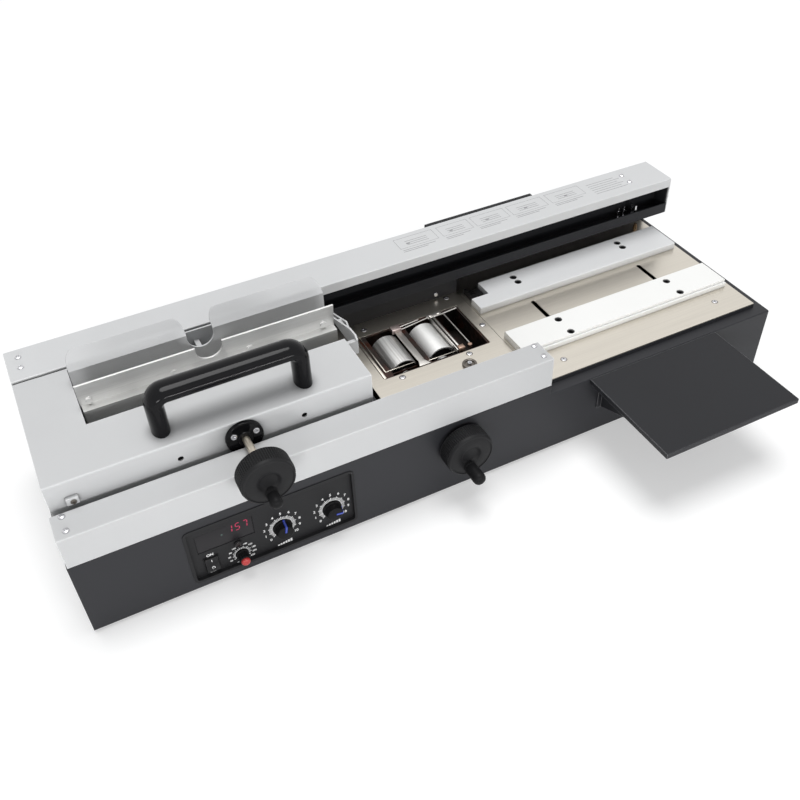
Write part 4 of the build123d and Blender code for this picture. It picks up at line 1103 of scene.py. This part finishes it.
class BINDER_OT_display(bpy.types.Operator):
    """Smoked display window with three lit digits and a small status lamp"""
    bl_idname = "binder.display"
    bl_label = "Temperature display"

    def execute(self, context):
        window = bmesh.new()
        outline = rounded_outline([(127.3, 50.2), (192.0, 50.2), (192.0, 77.6), (127.3, 77.6)], 1.4)
        extruded(window, outline, "XZ", 4.4, 6.0, 0.3)
        add_piece("display_window", window, "base", "display_red", finish_for("display_red"))
        lit = bmesh.new()
        height, width, slant, pitch, half = 10.4, 5.2, 0.10, 8.7, 0.55
        for place, digit in enumerate("157"):
            x0, z0 = 163.4 + place * pitch, 64.9
            for key in LIT[digit]:
                (u0, v0), (u1, v1) = SEGMENTS[key]
                a = Vector((x0 + u0 * width + v0 * height * slant, z0 + v0 * height))
                b = Vector((x0 + u1 * width + v1 * height * slant, z0 + v1 * height))
                along = (b - a).normalized()
                across = Vector((-along.y, along.x)) * half
                points = [a, a + along * 0.5 + across, b - along * 0.5 + across, b, b - along * 0.5 - across,
                          a + along * 0.5 - across]
                extruded(lit, points, "XZ", 4.3, 4.4)
        add_piece("display_digits", lit, "base", "display_red",
                  lit_segment("Display segments lit", tuple(colours().display_red)))
        lamp = bmesh.new()
        spin(lamp, [(0, 4.1), (0.7, 4.15), (1.2, 4.4), (1.2, 5.0), (0, 5.0)], (156.5, 0, 65.9), segments=24)
        add_piece("display_lamp", lamp, "base", "display_red",
                  printed("Status lamp lens", (0.06, 0.10, 0.09), 0.25))
        return {"FINISHED"}


def knob_drawing(centre, base, tip, flutes):
    """Skirt, fluted taper and shaft; base and tip are the radii of the grip's two ends."""
    outline = [(0, -8.0), (tip - 1.4, -8.0), (tip - 0.6, -7.8), (tip, -7.2), (tip + 0.1, -6.6),
               (base - 0.1, 1.0), (base, 1.3), (base + 0.9, 1.5), (base + 1.1, 1.9), (base + 1.1, 3.3),
               (3.0, 3.4), (3.0, 9.5), (0, 9.5)]
    bm = bmesh.new()
    return spin(bm, outline, (centre[0], 0, centre[1]), ribs=flutes, depth=0.5, ribbed=(4, 5))


class BINDER_OT_knobs(bpy.types.Operator):
    """Ribbed knobs: a red cap on the thermostat and blue pointer stripes on both dials"""
    bl_idname = "binder.knobs"
    bl_label = "Dial knobs"

    def execute(self, context):
        palette = colours()
        x, z = DIALS["thermostat"]
        add_piece("thermostat_ribbed_knob", knob_drawing((x, z), 6.4, 6.1, 18), "thermostat", "knob_black",
                  stands_for=("thermostat_knob",))
        cap = bmesh.new()
        spin(cap, [(0, -12.0), (2.0, -11.95), (3.5, -11.6), (4.5, -10.9), (5.1, -9.8), (5.2, -8.6), (5.0, -7.9),
                   (0, -7.9)], (x, 0, z), segments=48)
        add_piece("thermostat_cap", cap, "thermostat", "knob_black",
                  moulded("Red cap plastic", tuple(palette.cap_red), (0.28, 0.4), grain=1500.0, relief=0.00002,
                          edge_wear_and_highlight=0.1, depth=0.08, gloss=0.5))
        blue = moulded("Blue pointer plastic", tuple(palette.pointer_blue), (0.3, 0.42), grain=1500.0,
                       relief=0.00002, edge_wear_and_highlight=0.1)
        # The lighter blue stripe along each pointer fin is a painted highlight.
        line = printed("Pointer line", (0.12, 0.15, 0.42), 0.4)
        for body, node, turn in (("speed_dial", "speed_knob", 80.0), ("timer_dial", "timer_knob", -10.0)):
            centre = DIALS[body]
            add_piece(node + "_ribbed", knob_drawing(centre, 10.5, 9.4, 30), body, "knob_black", stands_for=(node,))
            fin = bmesh.new()
            self.rib(fin, centre, turn, 1.2, 0.0, 0.0)
            add_piece(node + "_pointer", fin, body, "knob_black", blue)
            # The stripe raised on the fin carries the painted highlight.
            mark = bmesh.new()
            self.rib(mark, centre, turn, 0.35, 0.12, 0.3)
            add_piece(node + "_line", mark, body, "knob_black", line)
        return {"FINISHED"}

    def rib(self, bm, centre, turn, half, proud, inset):
        """Raised line from the middle of the face, down the side and over the skirt."""
        side_on = bmesh.new()
        outline = [(1.0 + inset, -7.9), (1.4 + inset, -8.4 - proud), (9.2, -8.4 - proud), (10.0 + proud, -7.6),
                   (11.0 + proud, 0.9), (11.9 + proud - inset, 1.2 - proud), (11.9 + proud - inset, 2.4),
                   (10.2, 2.6), (8.6, -7.0)]
        extruded(side_on, outline, "XZ", -half, half, min(0.25, half * 0.4))
        # The drawing is (reach, along the axis), so its Z becomes Y.
        side_on.transform(Matrix.Translation((centre[0], 0, centre[1]))
                          @ Matrix.Rotation(-math.radians(turn), 4, "Y")
                          @ Matrix(((1, 0, 0, 0), (0, 0, 1, 0), (0, 1, 0, 0), (0, 0, 0, 1))))
        joined(bm, side_on)


class BINDER_OT_rocker(bpy.types.Operator):
    """Rocker switch with its curved faces and marks, and the collar it sits in"""
    bl_idname = "binder.rocker"
    bl_label = "Rocker switch"

    def execute(self, context):
        pivot = Vector(ROCKER_PIVOT)
        tilt = math.radians(-11)
        middle, half = 138.9, 9.15
        profile = []
        for k in range(13):
            rise = half * (k / 6 - 1)
            profile.append((-0.2 + 1.9 * (1 - abs(rise / half) ** 1.3), pivot.y + rise))
        profile += [(y, pivot.y + rise) for y, rise in ((3.2, half), (8, 5.95), (12, 4.75), (12, -4.75), (8, -5.95),
                                                        (3.2, -half))]
        slope = Matrix.Translation((0, *pivot)) @ Matrix.Rotation(tilt, 4, "X") @ Matrix.Translation((0, *-pivot))
        bm = bmesh.new()
        extruded(bm, profile, "YZ", middle - 7.5, middle + 7.5, 0.5, 3)
        spin(bm, [(0, middle - 9.5), (1.5, middle - 9.5), (1.5, middle + 9.5), (0, middle + 9.5)], (0, *pivot),
             axis="X", segments=24)
        bm.transform(slope)
        add_piece("rocker_cap", bm, "rocker", "rocker_black", stands_for=("rocker_switch",))
        marks = bmesh.new()
        low, high = pivot.y + 3.4, pivot.y + 6.4
        extruded(marks, [(middle - 0.4, low), (middle + 0.4, low), (middle + 0.4, high), (middle - 0.4, high)],
                 "XZ", 0.55, 0.95)
        arc_band(marks, (middle, pivot.y - 5.0), 1.2, 1.85, math.pi, 2 * math.pi, 28, 1.0, 0.45)
        marks.transform(slope)
        add_piece("rocker_marks", marks, "rocker", "rocker_black", panel_ink())
        collar = bmesh.new()
        outer, inner, reach, wide = 9.0, 7.8, 11.2, 10.4
        for x0, x1, z0, z1 in ((-outer, -inner, -reach, reach), (inner, outer, -reach, reach),
                               (-inner - 0.1, inner + 0.1, wide, reach), (-inner - 0.1, inner + 0.1, -reach, -wide)):
            slab(collar, middle + x0, middle + x1, PANEL_FACE - 1.1, PANEL_FACE, pivot.y + z0, pivot.y + z1, 0.25)
        add_piece("rocker_collar", collar, "base", "switch_black")
        return {"FINISHED"}


# ---------------------------------------------------------------- screws


def pan_head(bm, x, y, z, radius=3.6, height=1.9):
    """Domed head with a cross recess, standing on z."""
    top_z, crown_radius = z + height, radius * 0.45
    outline = [(0, z), (radius, z), (radius, z + height * 0.25), (radius * 0.93, z + height * 0.62),
               (radius * 0.72, z + height * 0.9), (crown_radius, top_z)]
    spin(bm, outline, (x, y, 0), axis="Z", segments=32)
    inner, arm, floor = radius * 0.16, radius * 0.42, z + height * 0.45
    ring = []
    for k in range(4):
        a = k * math.pi / 2
        c, s = math.cos(a), math.sin(a)
        for u, v in ((inner, -inner), (arm, -inner), (arm, inner)):
            ring.append((x + u * c - v * s, y + u * s + v * c))
    top = [bm.verts.new((px, py, top_z)) for px, py in ring]
    low = [bm.verts.new((x + (px - x) * 0.7, y + (py - y) * 0.7, floor)) for px, py in ring]
    count = len(ring)
    for i in range(count):
        j = (i + 1) % count
        bm.faces.new((top[i], top[j], low[j], low[i]))
    bm.faces.new(low)
    rim = [v for v in bm.verts if abs(v.co.z - top_z) < 1e-6
           and abs(math.hypot(v.co.x - x, v.co.y - y) - crown_radius) < 1e-4]
    rim.sort(key=lambda v: math.atan2(v.co.y - y, v.co.x - x))
    crown = sorted(top, key=lambda v: math.atan2(v.co.y - y, v.co.x - x))
    edges = [e for loop in (rim, crown) for e in edges_at(loop) if e.verts[0] in loop and e.verts[1] in loop]
    bmesh.ops.triangle_fill(bm, use_beauty=True, edges=edges)


def washer_bolt(bm, x, y, z):
    """Thick washer with a raised rim and a sunk seat for the bolt."""
    spin(bm, [(9.3, z), (9.3, z + 2.3), (8.8, z + 2.9), (6.9, z + 3.1), (6.2, z + 2.8), (5.9, z + 1.2),
              (2.9, z + 1.2), (2.9, z), (9.3, z)], (x, y, 0), axis="Z", segments=44)


COVER_SCREWS = ([(x, y, FRONT_COVER_TOP) for x, y in ((13, 30.5), (13, 10), (568, 31), (568, 10))]
                + [(x, y, REAR_COVER_TOP) for x, y in ((18.8, 264), (18.4, 244), (863.5, 263), (862.7, 243.4))])
DECK_SCREWS = [(427.4, 215), (556, 224.7), (569, 150), (524.6, 107), (429.9, 107), (864.5, 43.4), (622, 40.6)]
WALL_SCREWS = [(543, 231.5, 107), (660, -2.0, 49.5), (811, -2.0, 49.5)]
WASHER_BOLT = (514, 88)
REAR_NIP_SCREWS = [(x, y) for x in (653.5, 828.5) for y in (198.5, 211)]
FRONT_NIP_SCREWS = [(x, y) for x in (654.0, 829.0) for y in (73.4, 101.8)]
RAIL_POSTS = ((847.5, 240), (857.0, 240))
STOP_POST = [(0, 0), (2.6, 0), (2.6, 2.2), (1.1, 2.4), (1.1, 7.2), (2.1, 7.4), (2.1, 11.0), (1.1, 11.2), (1.1, 15.2),
             (0.8, 15.5), (0, 15.5)]


def sunk_head(bm, x, y):
    """Socket cap screw down in its counterbore, under the plate's face."""
    spin(bm, [(0, COUNTERBORE), (4.6, COUNTERBORE), (4.6, 108.4), (4.3, 108.8), (2.7, 108.8), (2.5, 108.5),
              (2.5, 106.6), (0, 106.4)], (x, y, 0), axis="Z", segments=32)


class BINDER_OT_screws(bpy.types.Operator):
    """Cover, deck and wall screws, the bolt on its washer, the sunk nip screws and the posts in the rail channel"""
    bl_idname = "binder.screws"
    bl_label = "Fixed screws"

    def execute(self, context):
        bm = bmesh.new()
        for x, y, z in COVER_SCREWS:
            pan_head(bm, x, y, z)
        seats = bmesh.new()
        for x, y in DECK_SCREWS:
            pan_head(bm, x, y, DECK_TOP, 3.5, 0.8)
            spin(seats, [(3.5, DECK_TOP), (3.6, DECK_TOP + 0.25), (4.2, DECK_TOP + 0.1), (4.3, DECK_TOP),
                         (3.5, DECK_TOP)], (x, y, 0), axis="Z", segments=32)
        spin(bm, [(0, 101.4), (2.9, 101.4), (2.9, 104.2), (2.6, 104.6), (1.5, 104.6), (1.2, 104.3), (1.2, 102.6),
                  (0, 102.5)], (*WASHER_BOLT, 0), axis="Z", segments=30)
        washer_bolt(seats, *WASHER_BOLT, DECK_TOP)
        for x, y, z in WALL_SCREWS:
            spin(bm, [(0, y), (3.0, y), (3.0, y - 1.2), (2.4, y - 2.0), (1.2, y - 2.3), (0, y - 2.3)], (x, 0, z),
                 segments=28)
        for x, y in RAIL_POSTS:
            spin(bm, [(radius, RAIL_FLOOR + rise) for radius, rise in STOP_POST], (x, y, 0), axis="Z", segments=24)
        add_piece("fixed_screw_heads", bm, "base", "screw_steel", stands_for=("fixed_screws",), crease=28)
        add_piece("deck_screw_seats", seats, "base", "screw_steel", finish_for("dark_steel"), crease=28)
        black = moulded("Blackened screws", (0.012, 0.012, 0.013), (0.3, 0.45), grain=900.0, relief=0.00002,
                        edge_wear_and_highlight=0.4)
        rear = bmesh.new()
        for x, y in REAR_NIP_SCREWS:
            sunk_head(rear, x, y)
        add_piece("rear_plate_screws", rear, "base", "screw_steel", black, crease=28)
        front = bmesh.new()
        for x, y in FRONT_NIP_SCREWS:
            sunk_head(front, x, y)
            spin(front, [(0, COUNTERBORE), (2.5, COUNTERBORE), (2.5, 96.5), (0, 96.5)], (x, y, 0), axis="Z",
                 segments=24)
        add_piece("front_plate_screws", front, "nip", "screw_steel", black, stands_for=("nip_screws",),
                  crease=28)
        return {"FINISHED"}


# ---------------------------------------------------------------- clamp screw bearing


class BINDER_OT_flange(bpy.types.Operator):
    """Gloss black bearing flange of the clamp screw and its three bright socket screws"""
    bl_idname = "binder.flange"
    bl_label = "Clamp flange"

    def execute(self, context):
        x, z = CLAMP_AXIS
        bm = bmesh.new()
        face = FLANGE_FACE
        outline = [(4.3, 37.4), (4.7, 37.0), (8.5, 37.0), (9.0, 37.5), (9.2, 38.8), (9.6, face), (18.3, face),
                   (18.6, face + 0.25), (19.3, face + 0.25), (19.6, face), (20.2, 39.1), (20.8, 39.6), (21.0, 40.3),
                   (21.0, CARRIAGE_FRONT), (6.1, CARRIAGE_FRONT), (6.1, 50.0), (4.3, 50.0), (4.3, 37.4)]
        spin(bm, outline, (x, 0, z), segments=96)
        add_piece("bearing_flange", bm, "carriage", "handle_black", stands_for=("clamp_flange",), crease=40)
        heads = bmesh.new()
        for i in range(3):
            sx, sz = dial_spot(CLAMP_AXIS, 14.3, math.radians(27 + 120 * i))
            spin(heads, [(0, face), (3.6, face), (3.6, 37.4), (3.2, 36.8), (2.4, 36.6), (1.7, 36.6), (1.5, 36.8),
                         (1.4, 38.2), (0, 38.3)], (sx, 0, sz), segments=30)
        add_piece("flange_screws", heads, "carriage", "screw_steel", crease=30)
        return {"FINISHED"}


class BINDER_OT_corner_block(bpy.types.Operator):
    """Small block screwed to the carriage's front face at its left corner"""
    bl_idname = "binder.corner_block"
    bl_label = "Corner block"

    def execute(self, context):
        bm = bmesh.new()
        front = CARRIAGE_FRONT - 4.8
        slab(bm, 21.4, 34.0, front, CARRIAGE_FRONT + 0.1, 151.0, 160.2, 0.8, 3)
        add_piece("corner_block", bm, "carriage", "carriage_grey", crease=30)
        head = bmesh.new()
        spin(head, [(0, front + 0.1), (3.2, front + 0.1), (3.2, front - 0.5), (2.8, front - 1.0), (1.7, front - 1.2),
                    (1.5, front - 1.0), (1.4, front - 0.1), (0, front)], (28.4, 0, 155.2), segments=28)
        add_piece("corner_block_screw", head, "carriage", "screw_steel", finish_for("dark_steel"), crease=30)
        return {"FINISHED"}


# ---------------------------------------------------------------- glue station


ROLLER_ENDS = (133.0, 190.0)      # y of the roller's front and rear end


def roller_drawing(x):
    """Shell with sunk ends, hub and shaft."""
    r = 21.0
    front, back = ROLLER_ENDS
    outline = [(0, 107), (4.6, 107), (5.0, 107.4), (5.0, 128.0), (7.6, 128.2), (8.0, 128.6), (8.0, 137.6),
               (10.5, 138.4), (16.2, 138.4), (17.4, 137.6), (18.3, front + 0.5), (18.7, front), (r - 0.5, front),
               (r, front + 0.5), (r, 160.0), (r, back - 0.5), (r - 0.5, back), (18.7, back), (18.3, back - 0.5),
               (17.4, 185.4), (8.0, 184.8), (5.0, 184.8), (5.0, 214.0), (0, 214.0)]
    bm = bmesh.new()
    return spin(bm, outline, (x, 0, ROLLER_Z), segments=96)


class BINDER_OT_rollers(bpy.types.Operator):
    """Hollow-ended glue rollers with their shafts"""
    bl_idname = "binder.rollers"
    bl_label = "Glue rollers"

    def execute(self, context):
        blasted = machined("Blasted roller shell", (0.80, 0.80, 0.79), (0.50, 0.62))
        black_end_lining = moulded("Roller end caps", (0.016, 0.015, 0.015), (0.4, 0.55), grain=900.0, relief=0.00002, edge_wear_and_highlight=0.3)
        for body, (node, x) in zip(("left_roller", "right_roller"), ROLLERS.items()):
            # The right roller is duller than the left one, which shows its turning marks.
            shell = blasted if node == "roller_right" else None
            add_piece(node + "_turned", roller_drawing(x), body, "roller_steel", shell, stands_for=(node,), crease=35)
            # A black lining inside each roller's sunk ends.
            ends = bmesh.new()
            for edge, inward in zip(ROLLER_ENDS, (1, -1)):
                spin(ends, [(radius, edge + inward * deep) for radius, deep in
                            ((5.2, -0.4), (8.2, -0.3), (8.4, 4.0), (10.5, 4.8), (17.2, 4.8), (17.9, 2.0), (17.9, 5.2),
                             (5.2, 5.2), (5.2, -0.4))], (x, 0, ROLLER_Z), segments=64)
            add_piece(node + "_ends", ends, body, "roller_steel", black_end_lining, crease=35)
        return {"FINISHED"}


def wires(bm, runs, z, radius):
    """Straight round wires from (x, y) to (x, y) at one height."""
    for x0, y0, x1, y1 in runs:
        along = (Vector((x1, y1, 0)) - Vector((x0, y0, 0))).normalized()
        swept(bm, [(Vector((x0, y0, z)), along), (Vector((x1, y1, z)), along)], radius, radius, Vector((0, 0, 1)), 14)


class BINDER_OT_glue_parts(bpy.types.Operator):
    """Doctor blade with its clamps, the level wires, the divider and the bright rims of the glue wells"""
    bl_idname = "binder.glue_parts"
    bl_label = "Glue station parts"

    def execute(self, context):
        blade = bmesh.new()
        slab(blade, 513.6, 514.9, 118, 197, 97.2, 103.2, 0.2)
        slab(blade, 518.3, 520.6, 118, 195, 99.0, 102.0, 0.3)
        slab(blade, 512.5, 534.0, 195.5, 203.0, 99.4, 100.9, 0.4)
        for x, y in ((517.5, 199.5), (529.5, 199.8)):
            pan_head(blade, x, y, 100.9, 2.6, 1.2)
        wires(blade, ((536.0, 121.0, 536.0, 198.0), (526.0, 197.0, 557.0, 199.5)), 99.6, 1.0)
        add_piece("doctor_blade", blade, "base", "divider_steel", stands_for=("glue_scraper",), crease=30)
        clamp = bmesh.new()
        slab(clamp, 515.8, 524.6, 117.2, 124.6, 97.5, 104.6, 0.8, 3)
        spin(clamp, [(0, 97.5), (3.0, 97.5), (3.0, 102.6), (2.4, 103.3), (1.0, 103.5), (0, 103.5)],
             (533.5, 121.5, 0), axis="Z", segments=28)
        add_piece("blade_clamp", clamp, "base", "divider_steel",
                  machined("Blade clamp bronze", (0.40, 0.28, 0.22), (0.32, 0.46)), crease=30)
        web = bmesh.new()
        outline = [(461.0, 203.0), (461.0, 124.0), (458.0, 115.0), (474.0, 115.0), (469.5, 124.0), (469.5, 203.0)]
        extruded(web, [Vector(p) for p in outline], "XY", WELL_RIM, WELL_RIM + 1.9, 0.4)
        wires(web, ((470.0, 193.0, 516.0, 199.0), (470.0, 198.5, 500.0, 201.0)), 99.9, 0.9)
        add_piece("well_divider", web, "base", "divider_steel", stands_for=("tank_divider",), crease=30)
        block = bmesh.new()
        slab(block, 457.0, 470.5, 189.0, 200.5, WELL_RIM, WELL_RIM + 6.3, 0.8, 3)
        add_piece("divider_block", block, "base", "divider_steel",
                  machined("Block bronze", (0.50, 0.42, 0.40), (0.34, 0.48)), crease=30)
        rims = bmesh.new()
        for x0, x1, y0, y1, high in ((415.6, 416.8, 127.5, 203.0, 0.9), (415.6, 457.0, 126.4, 127.6, 0.9),
                                     (473.5, 512.0, 120.4, 121.6, 0.9), (409.5, 412.5, 116.0, 203.0, 0.6)):
            slab(rims, x0, x1, y0, y1, WELL_RIM, WELL_RIM + high, 0.2)
        add_piece("well_rims", rims, "base", "deck_steel", crease=30)
        return {"FINISHED"}


class BINDER_OT_label(bpy.types.Operator):
    """Plain outlined frames printed on the rear cover, with bars in place of words"""
    bl_idname = "binder.label"
    bl_label = "Rear cover print"

    FRAMES = ((501.5, 558.0), (565.0, 611.0), (616.5, 668.0), (673.5, 729.5), (736.5, 791.5))

    def execute(self, context):
        bm = bmesh.new()
        y0, y1, line = 248.0, 272.0, 0.4
        for number, (x0, x1) in enumerate(self.FRAMES):
            self.bar(bm, x0, x1, y0, y0 + line)
            self.bar(bm, x0, x1, y1 - line, y1)
            self.bar(bm, x0, x0 + line, y0 + 0.02, y1 - 0.02)
            self.bar(bm, x1 - line, x1, y0 + 0.02, y1 - 0.02)
            middle, wide = (x0 + x1) / 2, (x1 - x0) * 0.28
            for row in range(3):
                self.bar(bm, middle - wide, middle + wide, 253.5 + 4.2 * row, 254.2 + 4.2 * row)
            start = middle - wide + 3 * number
            self.bar(bm, start, start + 5, 255.4, 257.4)
            self.bar(bm, x0 + 1.0, x1 - 8.0, 243.2, 244.0)
            self.bar(bm, x0 + 1.0, x1 - 20.0, 239.8, 240.6)
        for row in range(6):
            self.bar(bm, 803.0, 856.0 - 7.0 * (row % 2), 238.5 + 5.2 * row, 239.2 + 5.2 * row)
        add_piece("rear_cover_print", bm, "base", "cover_grey", printed("Grey cover print", (0.27, 0.27, 0.28)))
        return {"FINISHED"}

    def bar(self, bm, x0, x1, y0, y1):
        corners = [Vector(p) for p in ((x0, y0), (x1, y0), (x1, y1), (x0, y1))]
        extruded(bm, corners, "XY", REAR_COVER_TOP - 0.05, REAR_COVER_TOP + INK)


# ---------------------------------------------------------------- panel in the sidebar


STEPS = ("stage", "finishes", "handwheels", "grips", "handle", "panel", "display", "knobs", "rocker", "screws",
         "flange", "corner_block", "rollers", "glue_parts", "label")


class BINDER_PT_sidebar(bpy.types.Panel):
    """Lists the machine's pieces and their settings"""
    bl_label = "Thermal binder"
    bl_space_type = "VIEW_3D"
    bl_region_type = "UI"
    bl_category = "Binder"

    def draw(self, context):
        layout = self.layout
        for step in STEPS:
            layout.operator("binder." + step)
        for title, settings in (("Colours", context.scene.binder_colours),
                                ("Handwheels", context.scene.binder_handwheels),
                                ("Dials", context.scene.binder_dials),
                                ("Stage", context.scene.binder_stage)):
            box = layout.box()
            box.label(text=title)
            for key in settings.bl_rna.properties.keys():
                if key not in ("rna_type", "name"):
                    box.prop(settings, key)


GROUPS = {"binder_colours": BinderColours, "binder_handwheels": BinderHandwheels, "binder_dials": BinderDials,
          "binder_stage": BinderStage}
CLASSES = (*GROUPS.values(), BINDER_OT_stage, BINDER_OT_finishes, BINDER_OT_handwheels, BINDER_OT_grips,
           BINDER_OT_handle, BINDER_OT_panel, BINDER_OT_display, BINDER_OT_knobs, BINDER_OT_rocker,
           BINDER_OT_screws, BINDER_OT_flange, BINDER_OT_corner_block, BINDER_OT_rollers, BINDER_OT_glue_parts,
           BINDER_OT_label, BINDER_PT_sidebar)


def register():
    for cls in CLASSES:
        bpy.utils.register_class(cls)
    for name, group in GROUPS.items():
        setattr(bpy.types.Scene, name, bpy.props.PointerProperty(type=group))


def unregister():
    for name in GROUPS:
        delattr(bpy.types.Scene, name)
    for cls in reversed(CLASSES):
        bpy.utils.unregister_class(cls)


def main():
    register()
    for step in STEPS:
        getattr(bpy.ops.binder, step)()
    bpy.context.view_layer.update()


if __name__ == "__main__":
    main()
